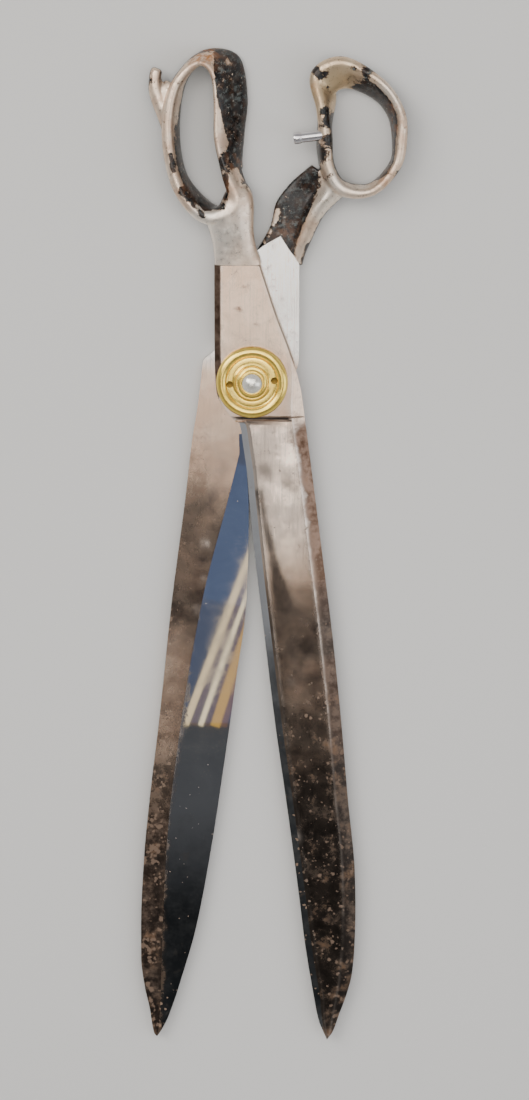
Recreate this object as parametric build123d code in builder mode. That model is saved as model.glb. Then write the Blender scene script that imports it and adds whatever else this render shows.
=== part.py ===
"""Large tailor's fabric shears, standing open as they lie flat on a table.

Two forged halves cross at a pivot bolt.  Each half is a cast handle brazed to a
forged shank and blade back, with a hard steel cutting plate laid into the inner
side of the blade.  A dished brass nut over a spring washer sets the tension.

Axes: +Z up out of the table, +Y towards the handles, +X to the right.
Origin: on the pivot axis, at the table.
"""

import os

from build123d import *

os.makedirs("parts", exist_ok=True)

# ---------------------------------------------------------------- driving sizes
HALF_THICK = 6.0  # thickness of each half at the pivot
RUN_GAP = 0.1  # running gap between the two halves
REAR_TOP = HALF_THICK
FRONT_BASE = HALF_THICK + RUN_GAP
FRONT_TOP = FRONT_BASE + HALF_THICK

STEEL_THICK = 2.0  # thickness of the laid steel plates
EDGE_LAND = 0.4  # blunt height left at the cutting edge
BEVEL_WIDTH = 4.5  # width of the ground cutting bevel
SPINE_BAND = 6.0  # width of the chamfer along the spine
TIP_THICK = 2.2  # blade thickness at the tip
FACE_STEP = 1.0  # how far the blade face is ground below the pivot boss

PIN_FIT = 0.05  # radial clearance of the pivot journal
SEAT_FIT = 0.02  # clearance of the bolt head and its square neck

BOW_TOP = 16.4  # the bows' front and back, along the pivot axis
BOW_BASE = 0.3


def slab(outline, low, high):
    """A flat plate with the given outline, from height low to height high."""
    with BuildPart() as plate:
        with BuildSketch(Plane.XY.offset(low)):
            with BuildLine():
                Polyline(*outline, close=True)
            make_face()
        extrude(amount=high - low)
    return plate.part


# ---------------------------------------------------------------------- blades
# Stations down each blade: (y, x at the cutting edge, x at the spine).
REAR_STATIONS = [
    (-24, -3.2, -27.0),
    (-62, -1.6, -31.6),
    (-102, -2.4, -36.9),
    (-150, -9.0, -42.2),
    (-200, -16.2, -47.9),
    (-240, -22.4, -50.8),
    (-268, -29.0, -52.0),
    (-288, -34.8, -50.0),
    (-302, -40.0, -47.0),
    (-310, -44.2, -45.4),
]
FRONT_STATIONS = [
    (-19, -6.0, 24.3),
    (-42, -2.3, 27.4),
    (-80, 1.1, 32.2),
    (-120, 5.8, 37.2),
    (-160, 10.5, 41.2),
    (-200, 16.2, 44.8),
    (-240, 21.6, 47.9),
    (-266, 24.6, 47.7),
    (-288, 28.4, 44.4),
    (-302, 31.0, 39.6),
    (-311, 34.4, 35.6),
]


def blade(stations, inner, outward):
    """A blade lofted from six-sided sections.

    inner is the height of its flat inner face and outward is the way its
    thickness goes: +1 up for the front blade, -1 down for the rear one.
    """
    first_y, last_y = stations[0][0], stations[-1][0]
    with BuildPart() as body:
        for y, edge, spine in stations:
            along = (first_y - y) / (first_y - last_y)
            width = abs(spine - edge)
            side = 1 if spine > edge else -1
            thick = (HALF_THICK - FACE_STEP) * (1 - along) + TIP_THICK * along
            bevel = min(BEVEL_WIDTH, 0.3 * width) * side
            band = min(SPINE_BAND, 0.3 * width) * side
            profile = [
                (edge, inner),
                (edge, inner + outward * EDGE_LAND),
                (edge + bevel, inner + outward * 0.6 * thick),
                (spine - band, inner + outward * thick),
                (spine, inner + outward * 0.5 * thick),
                (spine, inner),
            ]
            with BuildSketch(Plane(origin=(0, y, 0), x_dir=(1, 0, 0), z_dir=(0, -1, 0))):
                with BuildLine():
                    Polyline(*profile, close=True)
                make_face()
        loft(ruled=True)
    return body.part


# The laid steel reaches from the cutting edge to these lines.
REAR_STEEL = [
    (-4, -20), (-3.5, -24), (-11, -55), (-23, -100), (-33, -160), (-40, -220),
    (-42, -262), (-43, -300), (-44, -320), (0, -320), (10, -20),
]
FRONT_STEEL = [
    (-5, -18), (5, -55), (17, -100), (27, -160), (34, -220), (36.5, -262),
    (35.5, -300), (35, -320), (-15, -320), (-15, -18),
]

rear_blade = blade(REAR_STATIONS, REAR_TOP, -1)
front_blade = blade(FRONT_STATIONS, FRONT_BASE, 1)
rear_steel_zone = slab(REAR_STEEL, REAR_TOP - STEEL_THICK, REAR_TOP + 1)
front_steel_zone = slab(FRONT_STEEL, FRONT_BASE - 1, FRONT_BASE + STEEL_THICK)

with BuildPart() as rear_blade_steel:
    add(rear_blade)
    add(rear_steel_zone, mode=Mode.INTERSECT)
rear_blade_steel.part.label = "rear_blade_steel"

with BuildPart() as front_blade_steel:
    add(front_blade)
    add(front_steel_zone, mode=Mode.INTERSECT)
front_blade_steel.part.label = "front_blade_steel"

# ------------------------------------------------------------- pivot hardware
HEAD_RADIUS = 8.0
HEAD_THICK = 2.4
NECK_SIDE = 9.0
JOURNAL_RADIUS = 5.0
THREAD_RADIUS = 4.4
THREAD_TOP = 18.6
DOME_RISE = 1.9
DOME_RADIUS = (THREAD_RADIUS**2 + DOME_RISE**2) / (2 * DOME_RISE)
NUT_RADIUS = 16.4
NUT_BASE = FRONT_TOP + 0.2
SPANNER_PITCH_RADIUS = 10.2
SPANNER_HOLE_RADIUS = 1.45
SPANNER_TURN = 5.0  # the pair of spanner holes stands a little off square
RECESS_RADIUS = 8.2
RECESS_DEPTH = 1.4

with BuildPart() as pivot_bolt:
    Cylinder(HEAD_RADIUS, HEAD_THICK, align=(Align.CENTER, Align.CENTER, Align.MIN))
    with BuildSketch(Plane.XY.offset(HEAD_THICK)):
        Rectangle(NECK_SIDE, NECK_SIDE)
    extrude(amount=REAR_TOP - HEAD_THICK)
    with BuildSketch(Plane.XZ):
        with BuildLine():
            Polyline(
                (0, THREAD_TOP + DOME_RISE),
                (0, REAR_TOP - 1),
                (NECK_SIDE / 2 - 0.5, REAR_TOP - 1),
                (NECK_SIDE / 2 - 0.5, REAR_TOP),
                (JOURNAL_RADIUS, REAR_TOP),
                (JOURNAL_RADIUS, FRONT_TOP),
                (THREAD_RADIUS, FRONT_TOP + 0.6),
                (THREAD_RADIUS, THREAD_TOP),
            )
            RadiusArc((THREAD_RADIUS, THREAD_TOP), (0, THREAD_TOP + DOME_RISE), -DOME_RADIUS)
        make_face()
    revolve(axis=Axis.Z)
pivot_bolt.part.label = "pivot_bolt"

with BuildPart() as pivot_nut:
    with BuildSketch(Plane.XZ):
        with BuildLine():
            bore = THREAD_RADIUS + PIN_FIT
            base = NUT_BASE
            Polyline(
                (bore, base + RECESS_DEPTH),
                (RECESS_RADIUS, base + RECESS_DEPTH),
                (RECESS_RADIUS, base),
                (NUT_RADIUS - 0.3, base),
                (NUT_RADIUS, base + 0.4),
                (NUT_RADIUS, base + 1.1),
            )
            ThreePointArc(
                (NUT_RADIUS, base + 1.1),
                (NUT_RADIUS - 2.6, base + 3.3),
                (11.8, base + 2.1),
            )
            Polyline((11.8, base + 2.1), (8.9, base + 2.1), (8.6, base + 3.1))
            ThreePointArc((8.6, base + 3.1), (7.2, base + 4.1), (5.4, base + 4.7))
            Polyline((5.4, base + 4.7), (bore, base + 4.7), (bore, base + RECESS_DEPTH))
        make_face()
    revolve(axis=Axis.Z)
    with Locations(Plane.XY.offset(base + 2.1).rotated((0, 0, SPANNER_TURN))):
        with PolarLocations(SPANNER_PITCH_RADIUS, 2):
            Hole(SPANNER_HOLE_RADIUS, depth=1.7)
pivot_nut.part.label = "pivot_nut"

with BuildPart() as spring_washer:
    with BuildSketch(Plane.XZ):
        with BuildLine():
            Polyline(
                (7.6, FRONT_TOP + 0.1),
                (7.7, FRONT_TOP + 0.8),
                (5.2, FRONT_TOP + 1.5),
                (5.1, FRONT_TOP + 0.8),
                close=True,
            )
        make_face()
    revolve(axis=Axis.Z)
spring_washer.part.label = "spring_washer"

# ------------------------------------------------------------ forged backs
REAR_SHANK = [
    (-24.9, -12), (-23, 3), (-22.4, 8.6), (-17.4, 13.4), (-10, 34), (-1, 56), (5, 61.4),
    (13, 66), (21.5, 52.5), (21.5, 10), (18.4, 0), (10, -14), (-3, -24.5), (-27, -24.5),
]
FRONT_SHANK = [
    (-17.1, 53.2), (3.2, 53.8), (5.2, 51), (11.4, 30.6), (18.4, 12), (22.2, -4.5), (24.3, -19.5),
    (17.2, -16.6), (2, -17.9), (-5, -18.6), (-10, -15.4), (-14, -10.8), (-16.2, -5), (-17, 6),
]


def bolt_seat():
    """The counterbore and square hole that hold the pivot bolt in the rear half."""
    with BuildPart() as seat:
        Cylinder(
            HEAD_RADIUS + SEAT_FIT,
            HEAD_THICK,
            align=(Align.CENTER, Align.CENTER, Align.MIN),
        )
        with BuildSketch(Plane.XY.offset(HEAD_THICK)):
            Rectangle(NECK_SIDE + 2 * SEAT_FIT, NECK_SIDE + 2 * SEAT_FIT)
        extrude(amount=HALF_THICK)
    return seat.part


with BuildPart() as rear_blade_back:
    add(slab(REAR_SHANK, 0, REAR_TOP))
    add(rear_blade)
    add(rear_steel_zone, mode=Mode.SUBTRACT)
    add(bolt_seat(), mode=Mode.SUBTRACT)
rear_blade_back.part.label = "rear_blade_back"

with BuildPart() as front_blade_back:
    add(slab(FRONT_SHANK, FRONT_BASE, FRONT_TOP))
    add(front_blade)
    add(front_steel_zone, mode=Mode.SUBTRACT)
    with BuildSketch(Plane.XY.offset(FRONT_BASE)):
        Circle(JOURNAL_RADIUS + PIN_FIT)
    extrude(amount=HALF_THICK, mode=Mode.SUBTRACT)
front_blade_back.part.label = "front_blade_back"

# ----------------------------------------------------------------- handles
# Stations round each bow, clockwise seen from above and starting at the neck:
# (middle of the front rim, middle of the back rim, thickness of the band).
FINGER_RING = [
    ((-17.5, 75.5), (-14.5, 76.5), 8.5),
    ((-29.0, 83.5), (-27.0, 85.5), 7.0),
    ((-35.8, 97.5), (-33.8, 98.5), 6.8),
    ((-38.0, 117.0), (-35.6, 117.5), 6.4),
    ((-34.6, 134.5), (-31.6, 137.5), 6.0),
    ((-24.0, 145.0), (-20.5, 149.0), 4.8),
    ((-16.6, 140.5), (-6.6, 145.5), 4.4),
    ((-15.4, 126.0), (-3.4, 128.0), 4.4),
    ((-14.8, 110.0), (-5.4, 112.0), 5.0),
    ((-10.5, 94.5), (-6.5, 96.5), 6.5),
    ((-6.0, 80.0), (-5.0, 81.0), 9.0),
]
THUMB_RING = [
    ((40.5, 88.0), (38.5, 88.5), 7.4),
    ((34.6, 98.5), (33.2, 98.5), 7.0),
    ((33.6, 112.0), (32.4, 112.0), 6.8),
    ((31.6, 126.0), (35.6, 126.0), 6.4),
    ((29.4, 139.0), (37.0, 135.4), 6.4),
    ((42.5, 143.8), (43.0, 138.2), 8.0),
    ((59.6, 134.6), (57.4, 130.2), 5.2),
    ((66.9, 122.8), (64.4, 121.6), 5.4),
    ((67.2, 110.4), (66.2, 110.0), 6.6),
    ((65.0, 98.6), (64.6, 98.8), 5.4),
    ((54.0, 87.6), (53.4, 87.9), 5.2),
]
PAD = 4  # the thumb pad lies flat near the front, clear of the other bow
PAD_BACK = 7.0


def bow_ring(stations, split, backs):
    """A closed ring of leaning rounded sections, lofted in two lengths.

    split is the station where the lengths meet, and backs gives the height of the
    back rim at the stations where it isn't at the base of the bow.
    """
    rims = []
    for i, (front, back, thick) in enumerate(stations):
        low = backs.get(i, BOW_BASE + thick / 2)
        rims.append((Vector(*front, BOW_TOP - thick / 2), Vector(*back, low), thick))
    middles = [(front + back) * 0.5 for front, back, _ in rims]
    count = len(rims)
    sections = []
    for i, (front, back, thick) in enumerate(rims):
        lean = (front - back).normalized()
        run = middles[(i + 1) % count] - middles[i - 1]
        plane = Plane(origin=middles[i], x_dir=lean, z_dir=run - lean * run.dot(lean))
        sections.append((plane, (front - back).length + thick, thick))
    with BuildPart() as ring:
        for half in (range(0, split + 1), range(split, count + 1)):
            with BuildPart(mode=Mode.PRIVATE) as arc:
                for i in half:
                    plane, depth, thick = sections[i % count]
                    with BuildSketch(plane):
                        RectangleRounded(depth, thick, 0.45 * thick)
                loft()
            add(arc.part)
    return ring.part


def neck(stations):
    """A neck lofted from rounded sections: (left point, right point, low, high)."""
    with BuildPart() as body:
        for left, right, low, high in stations:
            a, b = Vector(*left, (low + high) / 2), Vector(*right, (low + high) / 2)
            width, deep = (b - a).length, high - low
            plane = Plane(origin=(a + b) * 0.5, x_dir=b - a, z_dir=(a - b).cross(Vector(0, 0, 1)))
            with BuildSketch(plane):
                RectangleRounded(width, deep, 0.42 * min(width, deep))
        loft()
    return body.part


FINGER_NECK = [
    ((-17.0, 53.2), (4.4, 53.2), FRONT_BASE, FRONT_TOP + 0.6),
    ((-17.6, 60), (2.0, 60), 5.0, 13.2),
    ((-19.0, 69), (0.6, 70), 3.4, 14.2),
    ((-22.5, 76), (0.6, 80), 3.0, 15.0),
]
THUMB_NECK = [
    ((2.0, 60.5), (21.6, 50.5), 0.2, HALF_THICK + 2),
    ((8.6, 70), (26.0, 62), 0.2, 10.5),
    ((13.0, 82), (33.0, 73), 0.4, 12.5),
    ((26.0, 95.5), (40.5, 84.5), 1.0, 13.5),
]
# The front neck swings over the rear one, so each is relieved on the other's side.
REAR_RELIEF = [
    (-5, 48), (19, 48), (19, 65), (21.2, 72), (22.8, 80), (22.8, 85), (21, 97), (-5, 97),
]
FRONT_RELIEF = [
    (12, 48), (-16, 48), (-16, 56), (-13, 63), (-11.6, 78), (-9.6, 86), (-6, 94), (0.5, 103), (12, 103),
]
RELIEF_DEPTH = 20

SPUR = [
    ((-38.0, 118, 7.5), 3.6),
    ((-41.2, 126, 7.0), 3.4),
    ((-43.6, 134, 6.5), 3.0),
    ((-44.0, 139.4, 6.3), 2.7),
]

with BuildPart() as spur:
    for i, (point, radius) in enumerate(SPUR):
        before, after = SPUR[max(i - 1, 0)], SPUR[min(i + 1, len(SPUR) - 1)]
        run = Vector(*after[0]) - Vector(*before[0])
        with BuildSketch(Plane(origin=point, z_dir=run)):
            Circle(radius)
    loft()
    with Locations(SPUR[-1][0]):
        Sphere(SPUR[-1][1])

with BuildPart() as finger_bow:
    add(bow_ring(FINGER_RING, len(FINGER_RING) // 2, {}))
    add(neck(FINGER_NECK))
    add(spur.part)
    add(slab(FRONT_RELIEF, FRONT_BASE - RELIEF_DEPTH, FRONT_BASE), mode=Mode.SUBTRACT)
    add(slab(FRONT_SHANK, FRONT_BASE, FRONT_TOP), mode=Mode.SUBTRACT)
finger_bow.part.label = "finger_bow"

STUD_RADIUS = 2.4
STUD_ROOT = Vector(32.6, 112.8, 13.2)
STUD_END = Vector(18.7, 111.1, 13.2)

with BuildPart() as stop_stud:
    stud_plane = Plane(origin=STUD_ROOT, z_dir=STUD_END - STUD_ROOT)
    stud_length = (STUD_END - STUD_ROOT).length
    with BuildSketch(stud_plane):
        Circle(STUD_RADIUS - 0.3)
    extrude(amount=stud_length - 2.5)
    with BuildSketch(stud_plane.offset(stud_length - 3.5)):
        Circle(STUD_RADIUS)
    extrude(amount=3.5)
    chamfer(stop_stud.faces().sort_by(Axis.X)[0].edges(), 0.4)
stop_stud.part.label = "stop_stud"

with BuildPart() as thumb_bow:
    add(bow_ring(THUMB_RING, PAD, {PAD: PAD_BACK}))
    add(neck(THUMB_NECK))
    add(slab(REAR_RELIEF, REAR_TOP - 0.1, REAR_TOP + RELIEF_DEPTH), mode=Mode.SUBTRACT)
    add(slab(REAR_SHANK, 0, REAR_TOP), mode=Mode.SUBTRACT)
    add(stop_stud.part, mode=Mode.SUBTRACT)
thumb_bow.part.label = "thumb_bow"

# ------------------------------------------------------------------- output
PIECES = [
    thumb_bow,
    rear_blade_back,
    rear_blade_steel,
    stop_stud,
    pivot_bolt,
    finger_bow,
    front_blade_back,
    front_blade_steel,
    spring_washer,
    pivot_nut,
]
for piece in PIECES:
    export_step(piece.part, f"parts/{piece.part.label}.step")
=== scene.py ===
# %% [markdown]
# # A pair of large tailor's shears
# The CAD model gives the frame: which pieces there are, where they sit and how they
# move.  This lesson gives each piece its finished surface.  Every shape is worked out
# with numpy, as a profile carried along a path or turned about an axis, in
# millimetres in the shears' own frame, and turned into metres as the mesh is made.

# %% Load the frame
import math

import bmesh
import bpy
import numpy as np
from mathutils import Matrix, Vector


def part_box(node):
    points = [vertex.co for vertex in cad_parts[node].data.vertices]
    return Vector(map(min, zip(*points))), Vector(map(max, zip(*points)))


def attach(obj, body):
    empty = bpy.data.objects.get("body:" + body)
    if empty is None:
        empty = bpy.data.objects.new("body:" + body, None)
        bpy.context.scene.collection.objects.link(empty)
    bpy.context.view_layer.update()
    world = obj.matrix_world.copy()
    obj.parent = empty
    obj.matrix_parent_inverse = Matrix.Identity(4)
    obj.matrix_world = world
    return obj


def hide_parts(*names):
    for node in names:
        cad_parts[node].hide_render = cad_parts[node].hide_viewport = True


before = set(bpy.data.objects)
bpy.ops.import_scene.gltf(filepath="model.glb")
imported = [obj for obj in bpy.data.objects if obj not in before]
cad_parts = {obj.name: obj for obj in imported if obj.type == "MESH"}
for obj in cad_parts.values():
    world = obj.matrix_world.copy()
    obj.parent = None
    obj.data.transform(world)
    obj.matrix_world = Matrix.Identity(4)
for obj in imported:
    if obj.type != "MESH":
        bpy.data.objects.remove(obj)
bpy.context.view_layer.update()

MM = 0.001  # one millimetre, in Blender's metres


def height_of(node, end):
    """Height in millimetres of a CAD node's bottom (end 0) or top (end 1)."""
    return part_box(node)[end].z / MM


REST = 0.0
PARTING = height_of("rear_blade_back", 1)
FRONT_BASE = height_of("front_blade_back", 0)
FRONT_TOP = height_of("front_blade_back", 1)
NUT_BASE = height_of("pivot_nut", 0)
BOLT_TOP = height_of("pivot_bolt", 1)
TIP_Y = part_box("front_blade_back")[0].y / MM

# %% [markdown]
# ## Curves through a few points
# A forged outline is a smooth curve, so it is held as a few given points and a
# rule for joining them.  Monotone cubics suit an outline that must not bulge between
# its points, and a closed Catmull-Rom curve suits a ring such as a bow.


# %% Curve helpers
def flow(knots, at):
    """Values at the places `at` of a monotone cubic through rows of (place, values).

    Each slope is the harmonic mean of the chords on its two sides, and nought where
    they disagree in sign, so the curve never overshoots a knot.  The two end slopes
    are the end chords.
    """
    knots = np.asarray(knots, float)
    knots = knots[np.argsort(knots[:, 0])]
    station, value = knots[:, 0], knots[:, 1:]
    gap = np.diff(station)[:, None]
    chord = np.diff(value, axis=0) / gap
    product = chord[1:] * chord[:-1]
    total = chord[1:] + chord[:-1]
    slope = np.zeros_like(value)
    slope[1:-1] = np.where(product > 0, 2 * product / np.where(total == 0, 1, total), 0)
    slope[0], slope[-1] = chord[0], chord[-1]
    i = np.clip(np.searchsorted(station, at) - 1, 0, len(station) - 2)
    h = gap[i]
    t = np.clip((at - station[i])[:, None] / h, 0, 1)
    s = 1 - t
    return (
        (1 + 2 * t) * s**2 * value[i]
        + t * s**2 * h * slope[i]
        + t**2 * (3 - 2 * t) * value[i + 1]
        - t**2 * s * h * slope[i + 1]
    )


def loop_through(knots, count):
    """A closed Catmull-Rom curve: each span leaves its knot along its neighbours' chord."""
    knots = np.asarray(knots, float)
    along = np.arange(count) * len(knots) / count
    i = along.astype(int)
    t = (along - i)[:, None]
    before, here, after, later = (knots[(i + k) % len(knots)] for k in (-1, 0, 1, 2))
    return 0.5 * (
        2 * here
        + (after - before) * t
        + (2 * before - 5 * here + 4 * after - later) * t**2
        + (3 * here - before - 3 * after + later) * t**3
    )


def ease(x, start, end):
    """0 before start, 1 after end, and a smooth S between: 3t^2 - 2t^3."""
    t = np.clip((np.asarray(x, float) - start) / (end - start), 0, 1)
    return t * t * (3 - 2 * t)


def unit(v):
    """Vectors scaled to length one: each is divided by its own length."""
    return v / np.maximum(np.linalg.norm(v, axis=-1, keepdims=True), 1e-12)


hump = flow([(0, 0), (1, 2), (3, 0)], np.linspace(0, 3, 61))
print("a curve through a knot 2 high rises to", round(float(hump.max()), 3), "and never over it")

# %% [markdown]
# ## From a grid of points to a mesh
# A surface is a grid: rows along the piece, and points round it.  One helper joins
# the grid into faces, closes the ends, and welds points that meet, as at a blade's
# tip.  Another applies modifiers, so that what is left is a plain mesh.


# %% Mesh helpers
WELD_GAP = 0.002 * MM


def skin(name, grid, ring=False):
    """A closed mesh from a grid of rows of points, in millimetres.

    Each row is a closed loop joined to the next row; the end rows are filled, or
    joined to each other where the piece is a ring.
    """
    rows, around = grid.shape[:2]
    here = np.arange(rows * around).reshape(rows, around)
    if not ring:
        low, high = here[:-1], here[1:]
    else:
        low, high = here, np.roll(here, -1, axis=0)
    quads = np.stack([low, np.roll(low, -1, 1), np.roll(high, -1, 1), high], -1)
    faces = quads.reshape(-1, 4).tolist()
    if not ring:
        faces += [here[0][::-1].tolist(), here[-1].tolist()]
    mesh = bpy.data.meshes.new(name)
    mesh.from_pydata((grid.reshape(-1, 3) * MM).tolist(), [], faces)
    piece = bpy.data.objects.new(name, mesh)
    bpy.context.scene.collection.objects.link(piece)
    weld(piece)
    return piece


def weld(piece):
    """Merges points that meet, drops faces with no area and turns the rest outwards."""
    work = bmesh.new()
    work.from_mesh(piece.data)
    bmesh.ops.remove_doubles(work, verts=work.verts, dist=WELD_GAP)
    bmesh.ops.dissolve_degenerate(work, edges=work.edges, dist=WELD_GAP / 2)
    bmesh.ops.recalc_face_normals(work, faces=work.faces)
    work.to_mesh(piece.data)
    work.free()


def bake_modifiers(piece):
    """Replaces a piece's mesh with the one that its modifiers make."""
    graph = bpy.context.evaluated_depsgraph_get()
    made = bpy.data.meshes.new_from_object(piece.evaluated_get(graph))
    piece.modifiers.clear()
    piece.data = made
    return piece


def cut(piece, tool, operation="DIFFERENCE"):
    """Cuts a piece with a closed tool, which is then thrown away."""
    knife = piece.modifiers.new("cut", "BOOLEAN")
    knife.operation = operation
    knife.solver = "EXACT"
    knife.object = tool
    bake_modifiers(piece)
    bpy.data.objects.remove(tool)
    return piece


def shade(piece, crease):
    """Smooth shading that stays sharp where faces meet at more than the crease angle."""
    piece.data.polygons.foreach_set("use_smooth", np.ones(len(piece.data.polygons), bool))
    piece.data.set_sharp_from_angle(angle=math.radians(crease))
    return piece


def points_of(piece):
    """The piece's vertices and their normals, as arrays, in millimetres."""
    count = len(piece.data.vertices)
    spot, facing = np.empty(count * 3), np.empty(count * 3)
    piece.data.vertices.foreach_get("co", spot)
    piece.data.vertices.foreach_get("normal", facing)
    return spot.reshape(-1, 3) / MM, facing.reshape(-1, 3)


def keep_value(piece, name, values):
    """Stores one number per vertex for a material to read."""
    column = piece.data.attributes.new(name, "FLOAT", "POINT")
    column.data.foreach_set("value", np.asarray(values, np.float32))


print("points closer than", WELD_GAP / MM, "mm are welded")

# %% [markdown]
# ## The camera
# The shears are seen from above and a little from the handle end, from 2.2 m, with a
# long lens, so that both blades keep their true proportions.

# %% Camera
VIEW_DISTANCE = 2200.0
VIEW_TILT = math.radians(10)
AIM = Vector((5.7, -78.9, PARTING))
LENS = 156.5

camera_data = bpy.data.cameras.new("camera")
camera_data.sensor_width = 36
camera_data.lens = LENS
camera = bpy.data.objects.new("camera", camera_data)
bpy.context.scene.collection.objects.link(camera)
bpy.context.scene.camera = camera
back = Vector((0, math.sin(VIEW_TILT), math.cos(VIEW_TILT)))
camera.location = (AIM + back * VIEW_DISTANCE) * MM
camera.rotation_euler = (-VIEW_TILT, 0, 0)
print("camera", [round(c, 3) for c in camera.location])

# %% [markdown]
# ## Node helpers for the finishes
# Old tools carry many small layers: ground steel, scratches, stains, rust, paint and
# the chips in it.  Each layer is a mask from noise, and a mask mixes a colour, a
# roughness and a little height.  These helpers keep each finish short to read.


# %% Shader helpers
class Finish:
    """A material with one Principled shader and short ways to add layers to it."""

    def __init__(self, name):
        """Makes the material and finds its shader and the piece's own coordinates."""
        self.material = bpy.data.materials.new(name)
        self.material.use_nodes = True
        self.tree = self.material.node_tree
        self.shader = self.tree.nodes["Principled BSDF"]
        self.coord = self.node("ShaderNodeTexCoord").outputs["Object"]

    def node(self, kind, **settings):
        """Adds a node of the given kind with its settings filled in."""
        made = self.tree.nodes.new(kind)
        for key, value in settings.items():
            setattr(made, key, value)
        return made

    def join(self, source, socket):
        """Runs a wire from one node's output to another's input."""
        self.tree.links.new(source, socket)

    def feed(self, socket, value):
        """Puts a number, a colour or another node's output into a socket."""
        if isinstance(value, bpy.types.NodeSocket):
            self.join(value, socket)
        elif isinstance(value, tuple) and len(value) == 3 and socket.type == "RGBA":
            socket.default_value = (*value, 1)
        else:
            socket.default_value = value

    def stretched(self, scale, turn=0.0):
        """Object coordinates scaled per axis, after a turn about Z in degrees."""
        mapping = self.node("ShaderNodeMapping")
        mapping.inputs["Rotation"].default_value = (0, 0, math.radians(turn))
        mapping.inputs["Scale"].default_value = scale
        self.join(self.coord, mapping.inputs["Vector"])
        return mapping.outputs["Vector"]

    def noise(self, size, detail=4.0, rough=0.55, warp=0.0, vector=None):
        """Noise whose largest lumps are about `size` millimetres across."""
        made = self.node("ShaderNodeTexNoise")
        made.inputs["Scale"].default_value = 1 / (size * MM)
        made.inputs["Detail"].default_value = detail
        made.inputs["Roughness"].default_value = rough
        made.inputs["Distortion"].default_value = warp
        self.join(vector or self.coord, made.inputs["Vector"])
        return made.outputs["Fac"]

    def cells(self, size):
        """Distance to the nearest of scattered points about `size` millimetres apart."""
        made = self.node("ShaderNodeTexVoronoi")
        made.inputs["Scale"].default_value = 1 / (size * MM)
        self.join(self.coord, made.inputs["Vector"])
        return made.outputs["Distance"]

    def specks(self, size, amount, patch=9.0):
        """Specks about `size` millimetres apart, more of them where amount is high.

        A speck shows where the distance to a scattered point, roughened by noise, is
        less than 0.42 times the amount, in patches about `patch` millimetres across.
        """
        patchy = self.band(self.noise(patch, 4, 0.7), 0.35, 0.7)
        reach = self.times(self.times(amount, patchy), 0.42)
        roughening = self.times(self.sum(self.noise(size * 0.5, 2), -0.5), 0.7)
        ragged = self.sum(self.cells(size), roughening)
        return self.band(self.sum(reach, ragged, "SUBTRACT"), 0.0, 0.1)

    def stored(self, name):
        """A value kept on the piece's vertices."""
        return self.node("ShaderNodeAttribute", attribute_name=name).outputs["Fac"]

    def sum(self, a, b, kind="ADD"):
        """Two numbers added, or put together in another way that a Math node knows."""
        made = self.node("ShaderNodeMath", operation=kind)
        self.feed(made.inputs[0], a)
        self.feed(made.inputs[1], b)
        return made.outputs[0]

    def times(self, a, b):
        """Two numbers multiplied."""
        return self.sum(a, b, "MULTIPLY")

    def band(self, value, start, end, low=0.0, high=1.0):
        """Maps start..end to low..high, clamped, along a smooth S."""
        made = self.node("ShaderNodeMapRange", interpolation_type="SMOOTHSTEP")
        for socket, number in zip(made.inputs, (value, start, end, low, high)):
            self.feed(socket, number)
        return made.outputs["Result"]

    def mix(self, share, a, b):
        """Colour a where share is 0 and colour b where it is 1."""
        made = self.node("ShaderNodeMix", data_type="RGBA")
        self.feed(made.inputs["Factor"], share)
        self.feed(made.inputs["A"], a)
        self.feed(made.inputs["B"], b)
        return made.outputs["Result"]

    def blend(self, share, a, b):
        """Number a where share is 0 and number b where it is 1."""
        made = self.node("ShaderNodeMix", data_type="FLOAT")
        self.feed(made.inputs["Factor"], share)
        self.feed(made.inputs["A"], a)
        self.feed(made.inputs["B"], b)
        return made.outputs["Result"]

    def relief(self, height, depth, strength=1.0, over=None):
        """A bump of `depth` millimetres, laid over an earlier one if given."""
        made = self.node("ShaderNodeBump")
        made.inputs["Strength"].default_value = strength
        made.inputs["Distance"].default_value = depth * MM
        self.join(height, made.inputs["Height"])
        if over is not None:
            self.join(over, made.inputs["Normal"])
        return made.outputs["Normal"]

    def surface(self, colour, metal, rough, normal=None, **constants):
        """Wires the finished layers to the shader and gives back the material.

        A constant is named as its socket, with _ for each space.
        """
        self.feed(self.shader.inputs["Base Color"], colour)
        self.feed(self.shader.inputs["Metallic"], metal)
        self.feed(self.shader.inputs["Roughness"], rough)
        if normal is not None:
            self.join(normal, self.shader.inputs["Normal"])
        for name, value in constants.items():
            self.shader.inputs[name.replace("_", " ")].default_value = value
        return self.material


# %% [markdown]
# ## Finish: worn japan on cast iron
# Japanning is a thick black stove enamel.  Hands have worn it off wherever they rub,
# down to pinkish grey metal, and left it chipped in the hollows.  A value stored on
# each vertex says how bare that place is; noise breaks its edge into ragged chips.


# %% Japan finish
ROSY_METAL, WARM_METAL, RUBBED_METAL = (0.70, 0.505, 0.39), (0.90, 0.74, 0.60), (0.97, 0.89, 0.79)
# The near-white metal colour on the next line is a painted highlight.
GOLDEN_METAL, HIGHLIGHT_METAL, PITS = (0.66, 0.50, 0.29), (1.0, 0.93, 0.83), (0.25, 0.15, 0.095)
ENAMEL, ENAMEL_DULLED = (0.006, 0.0055, 0.0055), (0.020, 0.018, 0.018)
DUST, CHIP_RIM = (0.20, 0.24, 0.235), (0.20, 0.12, 0.07)
RUST_ON_METAL, RUST_ON_ENAMEL = (0.42, 0.17, 0.05), (0.30, 0.115, 0.035)


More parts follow.
